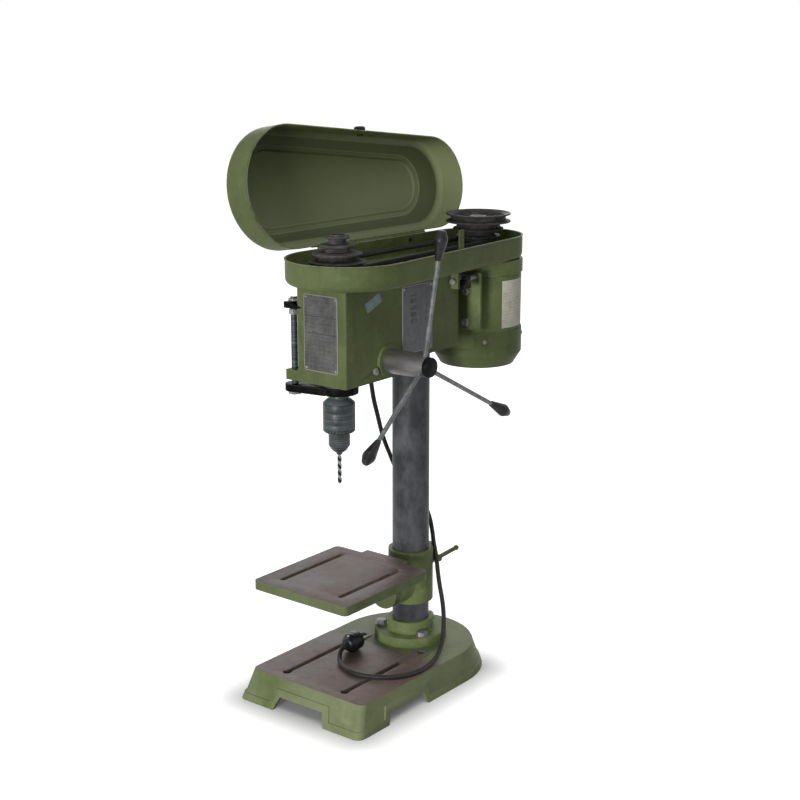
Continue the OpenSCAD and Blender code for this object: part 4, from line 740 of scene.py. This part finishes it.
def mark_edges(thing):
    """Writes 1 on corners inside a bevelled strip, -1 where the strip fills an inner corner."""
    mesh = thing.data
    flat, spread = set(), {}
    for face in mesh.polygons:
        if face.material_index == 0:
            flat.update(face.vertices)
        face.material_index = 0
    for a, b in mesh.edge_keys:
        way = mesh.vertices[b].co - mesh.vertices[a].co
        spread[a] = spread.get(a, 0.0) + way.dot(mesh.vertices[a].normal)
        spread[b] = spread.get(b, 0.0) - way.dot(mesh.vertices[b].normal)
    marks = mesh.attributes.new("edge_wear_and_shade", "FLOAT", "POINT")
    for i in range(len(mesh.vertices)):
        if i not in flat:
            marks.data[i].value = -1.0 if spread.get(i, 0.0) > 0 else 1.0


def softened(node, width, segments=2):
    """A copy of a CAD node with rounded edges, which takes the node's place."""
    source = frame["nodes"][node].data
    thing = add_object(node + "_soft", source.copy())
    edit(thing, "SELECT")
    bpy.ops.mesh.remove_doubles(threshold=0.000004)
    bpy.ops.mesh.dissolve_limited(angle_limit=math.radians(0.6))
    leave_edit()
    thing.data.materials.clear()
    for spare in (paint_cast, painted_lit_motor):
        thing.data.materials.append(spare)
    bevel(thing, width, segments, 30.0, miter_outer="MITER_ARC", material=1)
    mark_edges(thing)
    take(thing)
    bpy.ops.object.shade_smooth_by_angle(angle=math.radians(35.0))
    finish_piece(thing, node + "_soft", source.materials[0], node)


# %% [markdown]
# ## Castings with broken edges
# Sand casting leaves no sharp edge: the mould needs draft and a small radius everywhere.
# A bevel of about a millimetre catches the light along the edges. Its strip is marked too,
# so the finishes know where paint wears thin and which inner corners get painted shade.

# %% Castings
for node, width, segments in (("base", 1.6, 3), ("column_flange", 1.2, 3), ("head", 1.4, 3),
                              ("table_bracket", 1.6, 3), ("spring_housing", 1.0, 2),
                              ("motor_body", 0.8, 2), ("motor_bell", 1.0, 3),
                              ("motor_cap", 1.5, 3), ("motor_plate", 0.8, 2),
                              ("clamp_lever", 0.8, 2), ("table", 1.3, 3)):
    softened(node, width, segments)

# %% Small steel parts
for node, width in (("flange_bolts", 0.7), ("head_screws", 0.5), ("motor_bolts", 0.5),
                    ("tilt_bolt", 0.7), ("stop_nut", 0.5), ("depth_nuts", 0.5),
                    ("depth_arm", 1.0), ("depth_pointer", 0.3), ("chuck_sleeve", 0.35),
                    ("chuck_body", 0.5), ("spindle_pulley", 0.6), ("belt_lock_knob", 1.2),
                    ("guard_hinge_leaves", 0.3), ("lid_hinge_leaves", 0.3),
                    ("guard_screws", 0.8), ("switch_box", 1.5), ("switch_rocker", 0.6),
                    ("drive_sleeve", 0.8), ("v_belt", 0.4)):
    softened(node, width)

# %% [markdown]
# ## Pressed sheet
# The belt guard and its lid are deep drawn from 2 mm sheet on the same outline: two round
# ends of unequal size and straight sides. One flat face of that outline is enough to start.
# Insets with a depth walk it down the wall and round the corner, as the press does.


# %% A drawn pan
front_y, front_r, rear_y, rear_r = -101.7, 94.8, 224.9, 76.3
sheet = 2.0
lip_round, lip_rise = 0.6, 0.5


def is_rear(corner):
    return corner.y > (front_y + 0.5) * MM


def outline(grow, z):
    """A flat face with the outline of the guard, at the height z."""
    deselect()
    middle = (0, front_y * MM, z * MM)
    bpy.ops.mesh.primitive_circle_add(vertices=96, radius=(front_r + grow) * MM,
                                      fill_type="NGON", location=middle)
    thing = bpy.context.active_object
    apply_place()
    edit(thing)
    pick_corners(thing, is_rear)
    scale = (rear_r + grow) / (front_r + grow)
    bpy.ops.transform.resize(value=(scale, scale, 1), center_override=middle)
    bpy.ops.transform.translate(value=(0, (rear_y - front_y) * MM, 0))
    bpy.ops.mesh.select_mode(type="FACE")
    bpy.ops.mesh.select_all(action="SELECT")
    return thing


def step_in(width, depth):
    bpy.ops.mesh.inset(thickness=width * MM, depth=depth * MM)


def round_in(radius, steps=6):
    """Insets that follow a quarter circle down and inwards."""
    for k in range(steps):
        a, b = (math.pi / 2 * (k + j) / steps for j in (0, 1))
        step_in(radius * (math.cos(a) - math.cos(b)), -radius * (math.sin(b) - math.sin(a)))


def ridge_in(width, depth, steps):
    """Insets that follow a soft S down (or up) to the next level."""
    soft = [(1 - math.cos(math.pi * k / steps)) / 2 for k in range(steps + 1)]
    for a, b in zip(soft, soft[1:]):
        step_in(width / steps, depth * (b - a))


def drawn_pan(depth, corner, lip):
    """A pan with its rim at z = 0, drawn down by depth, as its inner surface."""
    thing = outline(lip - sheet, -lip_rise)
    step_in(lip_round, lip_rise)
    step_in(lip - 2 * lip_round, 0.0)
    step_in(lip_round, -lip_rise)
    for k in range(3):
        extrude((sheet + corner - depth) / 3)
    round_in(corner)
    return thing


def give_thickness(thing):
    leave_edit()
    add_modifier(thing, "SOLIDIFY", thickness=sheet * MM, offset=-1.0, use_even_offset=True,
                 use_rim=True)


guard_z, rim_z = 658.3, 696.3
guard = drawn_pan(rim_z - guard_z, 8.0, 3.2)
give_thickness(guard)
guard.location = (0, 0, rim_z * MM)
settle(guard)
print("guard drawn", [round(v, 4) for v in guard.dimensions])

# %% Holes in the guard's floor
drive_hole_r, shaft_hole_r, slide_room = 22.0, 15.0, 10.0
for radius, y in ((drive_hole_r, spindle_y), (shaft_hole_r, motor_y),
                  (shaft_hole_r, motor_y - slide_room)):
    deselect()
    bpy.ops.mesh.primitive_cylinder_add(vertices=48, radius=radius * MM, depth=12.0 * MM,
                                        location=(0, y * MM, guard_z * MM))
    cutter = bpy.context.active_object
    add_modifier(guard, "BOOLEAN", operation="DIFFERENCE", object=cutter, solver="EXACT")
    bpy.data.objects.remove(cutter, do_unlink=True)
settle(guard)
guard_paint = paint("olive_on_guard", 1.02, 0.665, rim=((0, 0, 1), rim_z - 0.2), settled=0.6)
finish_piece(guard, "belt_guard_pan", guard_paint, "belt_guard")

# %% [markdown]
# ## Lid
# The lid is the same drawing turned over, deeper, with a flat panel pressed outwards to
# stiffen it. The panel's outline is shorter than the lid's, so the rear corners are moved
# forward after the inset. It is built shut and then swung open round its hinge.

# %% Lid
lid_depth, lid_corner, lid_lip = 52.6, 11.0, 2.05
panel_inset, panel_forward, panel_corners = 11.0, 30.0, 50
first_rise, panel_rise = 1.2, 5.0
lid = drawn_pan(lid_depth, lid_corner, lid_lip)
step_in(panel_inset, 0.0)
leave_edit()
panel = max(lid.data.polygons, key=lambda face: len(face.vertices))
panel_edge = {tuple(lid.data.vertices[i].co) for i in panel.vertices}
bpy.ops.object.mode_set(mode="EDIT")
pick_corners(lid, lambda c: is_rear(c) and tuple(c) in panel_edge)
bpy.ops.transform.translate(value=(0, -panel_forward * MM, 0))
bpy.ops.mesh.select_mode(type="FACE")
bpy.ops.mesh.select_all(action="DESELECT")
leave_edit()
for face in lid.data.polygons:
    face.select = len(face.vertices) > panel_corners
bpy.ops.object.mode_set(mode="EDIT")
bpy.ops.mesh.select_mode(type="FACE")
ridge_in(3.0, -first_rise, 4)
step_in(5.0, 0.0)
ridge_in(5.0, first_rise - panel_rise, 6)
give_thickness(lid)

# The straight sides lean inwards towards the rear, because the rear end is smaller.
lean = math.asin((front_r - rear_r) / (rear_y - front_y))
hinge_reach = front_r + 3.0
hinge = Vector((-hinge_reach * math.cos(lean), front_y + hinge_reach * math.sin(lean),
                rim_z)) * MM
hinge_line = Vector((math.sin(lean), math.cos(lean), 0))
lid_angle = math.radians(99.2)
swing = (Matrix.Translation(hinge) @ Matrix.Rotation(-lid_angle, 4, hinge_line)
         @ Matrix.Translation(-hinge))
lid_gap = 0.3
lid_base = Vector((0, 0, (rim_z + lid_gap) * MM))
lid.matrix_world = swing @ Matrix.Translation(lid_base) @ Matrix.Rotation(math.pi, 4, "Y")
settle(lid)
rim_normal = swing.to_3x3() @ Vector((0, 0, 1))
rim_level = rim_normal.dot(swing @ lid_base) / MM
lid_paint = paint("olive_on_lid", 0.95, 0.665, rim=(rim_normal, rim_level), hollow=True)
finish_piece(lid, "lid_pressing", lid_paint, "lid")

# %% [markdown]
# ## Catch and knob of the lid
# A bent strip inside the right wall guides the shut lid, and a black knob on the lid's
# right side lifts it. Both are small, but they break the long smooth edges.

# %% Catch strip
tab_y, tab_half, tab_low, tab_high = 72.0, 6.5, rim_z - 20.0, rim_z + 29.0
tab_t, tab_gap = 2.0, 1.8
bend_low, bend_high, bend_out, foot_out = rim_z - 4.0, rim_z + 1.0, 1.6, 0.5


def wall_at(y):
    """How far the guard's wall stands from the middle at y."""
    return (front_r * math.cos(lean)
            - (y - front_y - front_r * math.sin(lean)) * math.tan(lean))


def cuboid(low, high):
    """A box from its lowest to its highest corner, in millimetres."""
    deselect()
    middle = [(a + b) / 2 * MM for a, b in zip(low, high)]
    bpy.ops.mesh.primitive_cube_add(size=1.0, location=middle)
    thing = bpy.context.active_object
    thing.scale = [(b - a) * MM for a, b in zip(low, high)]
    apply_place()
    return thing


tab_x = wall_at(tab_y) - sheet - tab_gap
tab = cuboid((tab_x - tab_t, tab_y - tab_half, tab_low), (tab_x, tab_y + tab_half, tab_high))
edit(tab)
pick_corners(tab, lambda c: c.z < (tab_low + 1) * MM)
bpy.ops.transform.translate(value=(foot_out * MM, 0, 0))
for z in (bend_low, bend_high):
    bpy.ops.mesh.select_all(action="SELECT")
    bpy.ops.mesh.bisect(plane_co=(0, 0, z * MM), plane_no=(0, 0, 1))
pick_corners(tab, lambda c: c.z < (bend_low + 0.1) * MM)
bpy.ops.transform.translate(value=(bend_out * MM, 0, 0))
leave_edit()
bevel(tab, 0.7, 3, 40.0)
settle(tab)
finish_piece(tab, "catch_strip", paint_sheet, slot="green_paint")


# %% Plates and sticker
def box_of(node):
    """The lowest and the highest corner of a CAD node, in millimetres."""
    places = [corner.co / MM for corner in frame["nodes"][node].data.vertices]
    return [[pick(place[i] for place in places) for i in range(3)] for pick in (min, max)]


def round_corners(thing, axis, radius):
    """Rounds the edges that run along one axis."""
    edit(thing)
    bpy.ops.mesh.select_mode(type="EDGE")
    leave_edit()
    for edge in thing.data.edges:
        a, b = (thing.data.vertices[i].co for i in edge.vertices)
        edge.select = abs((a - b)[axis]) > 0.9 * (a - b).length
    bpy.ops.object.mode_set(mode="EDIT")
    bpy.ops.mesh.bevel(offset=radius * MM, segments=5, affect="EDGES")
    leave_edit()


for node, axis, material in (("scale_plate", 1, scale_finish), ("speed_plate", 0, speed_finish)):
    plate = cuboid(*box_of(node))
    round_corners(plate, axis, plate_corner)
    bevel(plate, 0.3, 2, 50.0)
    settle(plate)
    finish_piece(plate, node + "_pressed", material, node)

head_side = 47.6
sticker_half_l, sticker_half_w, sticker_t, sticker_turn = 18.3, 7.8, 0.25, 21.7
sticker = cuboid((0, -sticker_half_l, -sticker_half_w),
                 (sticker_t, sticker_half_l, sticker_half_w))
round_corners(sticker, 0, 1.5)
sticker.location = Vector((head_side - 0.02, -101.8, 632.9)) * MM
sticker.rotation_euler = (math.radians(sticker_turn), 0, 0)
settle(sticker)
finish_piece(sticker, "blank_sticker", blue_paper, slot=slot_of_node["rating_plate"])


# %% Turned pieces
least_r = 0.02


def turned(profile, place=(0, 0, 0), axis=(0, 0, 1), sides=48):
    """Spins a profile of (radius, height) pairs round an axis through a place."""
    deselect()
    (last_r, last_h), *rest = [(max(r, least_r), h) for r, h in profile]
    bpy.ops.mesh.primitive_circle_add(vertices=sides, radius=last_r * MM,
                                      fill_type="NOTHING", location=(0, 0, last_h * MM))
    thing = bpy.context.active_object
    apply_place()
    edit(thing, "SELECT")
    for r, h in rest:
        extrude(h - last_h)
        bpy.ops.transform.resize(value=(r / last_r, r / last_r, 1.0),
                                 center_override=(0, 0, h * MM))
        last_r, last_h = r, h
    bpy.ops.mesh.edge_face_add()
    pick_corners(thing, lambda c: abs(c.z - profile[0][1] * MM) < 1e-7)
    bpy.ops.mesh.edge_face_add()
    leave_edit()
    thing.rotation_mode = "QUATERNION"
    thing.rotation_quaternion = Vector((0, 0, 1)).rotation_difference(Vector(axis))
    thing.location = Vector(place) * MM
    return thing


def turned_piece(name, material, profile, place, axis=(0, 0, 1), sides=48, **rest):
    thing = turned(profile, place, axis, sides)
    settle(thing)
    return finish_piece(thing, name, material, **rest)


# The motor pulley: four grooves, each with a rim above it, then a dish with a hub in its top.
pulley_z, pitch, rim, slope, edge = 680.5, 12.2, 1.3, 1.5, 0.5
rims, floors = (31.0, 36.0, 41.7, 53.3, 53.3), (23.0, 28.0, 36.0, 45.5)
pulley_line = [(8.0, -rim), (rims[0] - edge, -rim), (rims[0], -rim + edge)]
for k, groove in enumerate(floors):
    low, high = k * pitch, (k + 1) * pitch
    pulley_line += [(rims[k], low + rim - edge), (rims[k] - edge, low + rim),
                    (groove + 0.3, low + rim + slope), (groove, low + rim + slope + edge),
                    (groove, high - rim - slope - edge), (groove + 0.3, high - rim - slope),
                    (rims[k + 1] - edge, high - rim), (rims[k + 1], high - rim + edge)]
pulley_top, dish_floor = len(floors) * pitch + rim, 702.0 - pulley_z
pulley_line += [(rims[4], pulley_top - edge), (rims[4] - edge, pulley_top),
                (rims[4] - 2.4, pulley_top), (rims[4] - 3.0, pulley_top - edge),
                (44.4, pulley_top - 2.8), (42.9, pulley_top - 4.2),
                (23.8, dish_floor + 1.2), (22.4, dish_floor), (14.6, dish_floor),
                (14.0, dish_floor + 0.8), (14.0, pulley_top - 5.8), (13.4, pulley_top - 5.2),
                (8.6, pulley_top - 5.2), (8.0, pulley_top - 5.8)]
motor_pulley = turned(pulley_line, (0, motor_y, pulley_z), sides=72)
settle(motor_pulley, 30)
finish_piece(motor_pulley, "motor_pulley_turned", pulley_iron, "motor_pulley")

knob_y, knob_h = 86.0, 30.0
knob_place = Vector((wall_at(knob_y), knob_y, rim_z + knob_h)) * MM
knob_axis = Vector((math.cos(lean), math.sin(lean), 0))
lid_knob = turned([(2.4, -5.0), (4.9, -5.0), (4.9, -2.05), (4.9, 0.05), (4.4, 2.5), (5.2, 3.6),
                   (8.2, 4.2), (9.3, 5.0), (9.5, 6.4), (9.3, 8.0), (8.2, 9.7), (6.0, 10.5),
                   (2.0, 10.8), (0.0, 10.8)])
lid_knob.matrix_world = (swing @ Matrix.Translation(knob_place)
                         @ knob_axis.to_track_quat("Z", "Y").to_matrix().to_4x4())
settle(lid_knob)
finish_piece(lid_knob, "lid_knob_turned", black_plastic, "lid_knob")

# %% [markdown]
# ## Feed hub, arms and grips
# The hub is a turned steel barrel that tapers towards a black cap. Each arm screws into it
# at a small lean, and ends in a black grip that swells and then rounds off.

# %% Hub
feed_y, feed_z = -68.3, 540.4
hub_axis = {"place": (0, feed_y, feed_z), "axis": (1, 0, 0), "sides": 64}
turned_piece("feed_hub_turned", hub_iron,
             [(17.0, 52.3), (18.2, 52.6), (18.5, 53.6), (18.5, 84.0), (18.3, 96.0),
              (17.4, 108.0), (15.6, 120.0), (14.9, 122.6)], **hub_axis, node="feed_hub")
turned_piece("feed_hub_cap", matt_plastic,
             [(14.6, 122.6), (15.1, 122.9), (15.1, 128.8), (14.4, 130.4), (12.8, 131.0),
              (0.0, 131.0)], **hub_axis, body="feed", slot="black_plastic")

# %% Grips and arms
arm_root = Matrix.Translation(Vector((115.6, feed_y, feed_z)) * MM)
arm_lean, arm_r, arm_end, grip_start = math.radians(9.0), 3.5, 180.0, 162.4
grip_line = [(3.6, 0.0), (4.3, 0.0), (4.8, 0.5), (4.9, 1.8), (6.4, 10.0), (7.9, 18.5),
             (9.4, 26.8), (9.8, 28.6), (10.0, 30.6), (9.8, 32.6), (9.4, 34.3), (7.9, 38.3),
             (6.4, 42.2), (6.0, 43.1), (5.2, 44.2), (3.6, 44.8), (1.6, 45.0), (0.0, 45.0)]
arm_line = [(3.0, 8.0), (arm_r, 9.0), (arm_r, 22.0), (arm_r, 160.0), (arm_r, arm_end)]
grips, arms = [], []
for turn in (0, 120, 240):
    place = (arm_root @ Matrix.Rotation(math.radians(turn), 4, "X")
             @ Matrix.Rotation(arm_lean, 4, "Y"))
    grip = turned(grip_line, sides=40)
    grip.matrix_world = place @ Matrix.Translation((0, 0, grip_start * MM))
    grips.append(grip)
    arm = turned(arm_line, sides=24)
    arm.matrix_world = place
    arms.append(arm)


def join(things):
    take(things[0])
    for thing in things:
        thing.select_set(True)
    bpy.ops.object.join()
    return bpy.context.active_object


for things, name, material, node in ((grips, "feed_grips", black_plastic, "feed_knobs"),
                                     (arms, "feed_arm_rods", arm_steel, "feed_arms")):
    whole = join(things)
    settle(whole)
    finish_piece(whole, name, material, node)

# %% [markdown]
# ## Drill bit
# A twist drill's section is a disc with two round flutes. The Screw modifier turns that
# section about its axis while it climbs, which is exactly how the flutes are ground.

# %% Bit
bit_r, bit_tip, bit_top, point_h = 3.2, 351.6, 398.5, 2.0
flute_at, flute_r, flute_turns, flute_steps = 4.0, 2.9, 2.0, 110
deselect()
bpy.ops.mesh.primitive_circle_add(vertices=32, radius=bit_r * MM, fill_type="NOTHING",
                                  location=(0, 0, 0))
bit = bpy.context.active_object
for corner in bit.data.vertices:
    for side in (-1, 1):
        centre = Vector((side * flute_at * MM, 0, 0))
        away = corner.co - centre
        if away.length < flute_r * MM:
            corner.co = centre + away.normalized() * flute_r * MM
flute_height = bit_top - bit_tip - point_h
add_modifier(bit, "SCREW", angle=math.radians(-360 * flute_turns),
             screw_offset=flute_height * MM, steps=flute_steps, render_steps=flute_steps,
             axis="Z", use_merge_vertices=False)
edit(bit)
pick_corners(bit, lambda c: c.z < 0.01 * MM)
extrude(-point_h)
bpy.ops.transform.resize(value=(0.08, 0.35, 1.0), center_override=(0, 0, -point_h * MM))
bpy.ops.mesh.edge_face_add()
pick_corners(bit, lambda c: c.z > (flute_height - 0.01) * MM)
bpy.ops.mesh.edge_face_add()
leave_edit()
bit.location = (0, spindle_y * MM, (bit_tip + point_h) * MM)
settle(bit, 40)
shank = turned([(3.0, bit_top - 1.0), (bit_r, bit_top - 0.6), (bit_r, bit_top + 20.0)],
               (0, spindle_y, 0), sides=24)
settle(shank)
bit = join([bit, shank])
bit_steel = flute_finish("bit_steel", spindle_y, 2.3, bit_r - 0.2)
finish_piece(bit, "twist_bit", bit_steel, "drill_bit")

# %% [markdown]
# ## Plug and gland
# The lead ends in a round moulded plug with a ribbed sleeve that saves the lead from
# kinking. Where it leaves the head it passes a short tapered gland.

# %% Plug
plug_start = Vector((-28.0, -88.0, 62.3))
plug_axis = Vector((-0.1, 1.0, 0.0)).normalized()
rib_step, rib_grow = 2.4, 0.7
sleeve = [(3.7, 0.0), (5.0, 0.2)]
for k in range(3):
    up, out = rib_step * k, rib_grow * k
    sleeve += [(5.2 + out, 0.8 + up), (5.2 + out, 2.2 + up), (4.7 + out, 2.5 + up),
               (4.7 + out, 3.0 + up)]
shell = [(7.4, 8.4), (9.6, 9.0), (10.4, 9.8), (10.8, 12.6), (11.4, 13.6), (14.0, 15.4),
         (15.2, 17.0), (15.5, 18.6), (15.5, 23.0), (14.8, 23.5), (14.8, 24.6), (15.5, 25.1),
         (15.5, 35.0), (15.0, 36.6), (13.8, 37.6), (12.0, 38.0), (0.0, 37.8)]
plug = turned_piece("mains_plug_body", black_plastic, sleeve + shell, plug_start, plug_axis,
                    56, node="plug_body")
screw_place = plug_start + plug_axis * 15.0 + Vector((-2.0, 0.0, 12.6))
plug_screw = turned_piece("plug_screw", bright_steel,
                          [(2.4, -2.5), (2.4, 0.5), (1.9, 1.1), (0.0, 1.4)], screw_place,
                          (-0.15, -0.75, 0.85), 20, slot="bright_steel")
turned_piece("lead_gland_moulded", black_plastic,
             [(3.8, 506.0), (5.0, 506.2), (5.3, 507.4), (5.5, 511.0), (5.0, 511.6),
              (5.0, 512.8), (5.8, 513.4), (6.1, 518.0), (5.6, 518.6), (5.6, 519.8),
              (6.5, 520.4), (7.0, 529.0), (8.0, 529.6), (8.0, 533.3)], (-33.0, -11.0, 0),
             sides=32, node="cord_gland")

# %% [markdown]
# ## Light and floor
# Plain studio light: a pale world fills the shadows, a soft lamp stands low at the front,
# a second hangs above and a third stands behind on the left. The floor shows white to the
# camera and keeps a soft real shadow near the base; there its glow is also turned down, a
# painted shadow.


# %% Studio
for name, place, target, size, power in (
        ("key", (0.80, -4.3, 0.50), (0, 0, 0.4), 1.3, 130.0),
        ("top", (0.9, -0.5, 3.5), (0, 0, 0.3), 2.4, 31.0),
        ("back", (-2.2, 2.6, 1.8), (0, 0, 0.4), 2.0, 26.0)):
    lamp = bpy.data.lights.new(name, "AREA")
    lamp.shape = "DISK"
    lamp.size = size
    lamp.energy = power
    look(add_object(name, lamp), place, target)

world = bpy.data.worlds.new("studio")
bpy.context.scene.world = world
world.use_nodes = True
sky = Tree(world.node_tree)
fill, full = 0.12, 1.0
sky.connect(world.node_tree.nodes["Background"], {
    "Color": (1.0, 1.0, 1.0),
    "Strength": sky.node("ShaderNodeMapRange", {}, {
        "Value": sky.seen(), "To Min": fill, "To Max": full})})

# The painted shadow under the base: a box on the floor as its middle and half sizes, where
# the floor's glow is dark, and how far round it the glow fades to white, in metres.
shadow_middle, shadow_half, shadow_fade = (0.0, -0.06), (0.10, 0.15), (-0.01, 0.11)
deselect()
bpy.ops.mesh.primitive_plane_add(size=12.0, location=(0, 0, 0))
floor = bpy.context.active_object
floor.name = "floor"
f = Finish("floor")
away = beyond(f.axes()[:2], shadow_middle, shadow_half)
# Painted shadow: the glow that the camera sees is near black at the base and white away from it.
f.set(Base_Color=(0.80, 0.80, 0.80), Roughness=0.9, Specular_IOR_Level=0.0,
      Emission_Strength=1.0, Emission_Color=f.blend(
          away.between(*shadow_fade), (0.06, 0.06, 0.06), (1.0, 1.0, 1.0)))
dark = f.node("ShaderNodeBsdfDiffuse", {}, {"Color": (0.28, 0.28, 0.28)})
shown = f.node("ShaderNodeMixShader", {}, {0: f.seen(), 1: dark,
                                           2: Wire(f, f.shader.outputs[0])})
f.connect(f.tree.nodes["Material Output"], {"Surface": shown})
dress(floor, f.material)
bpy.context.scene.view_settings.view_transform = "Standard"
print("studio lit")
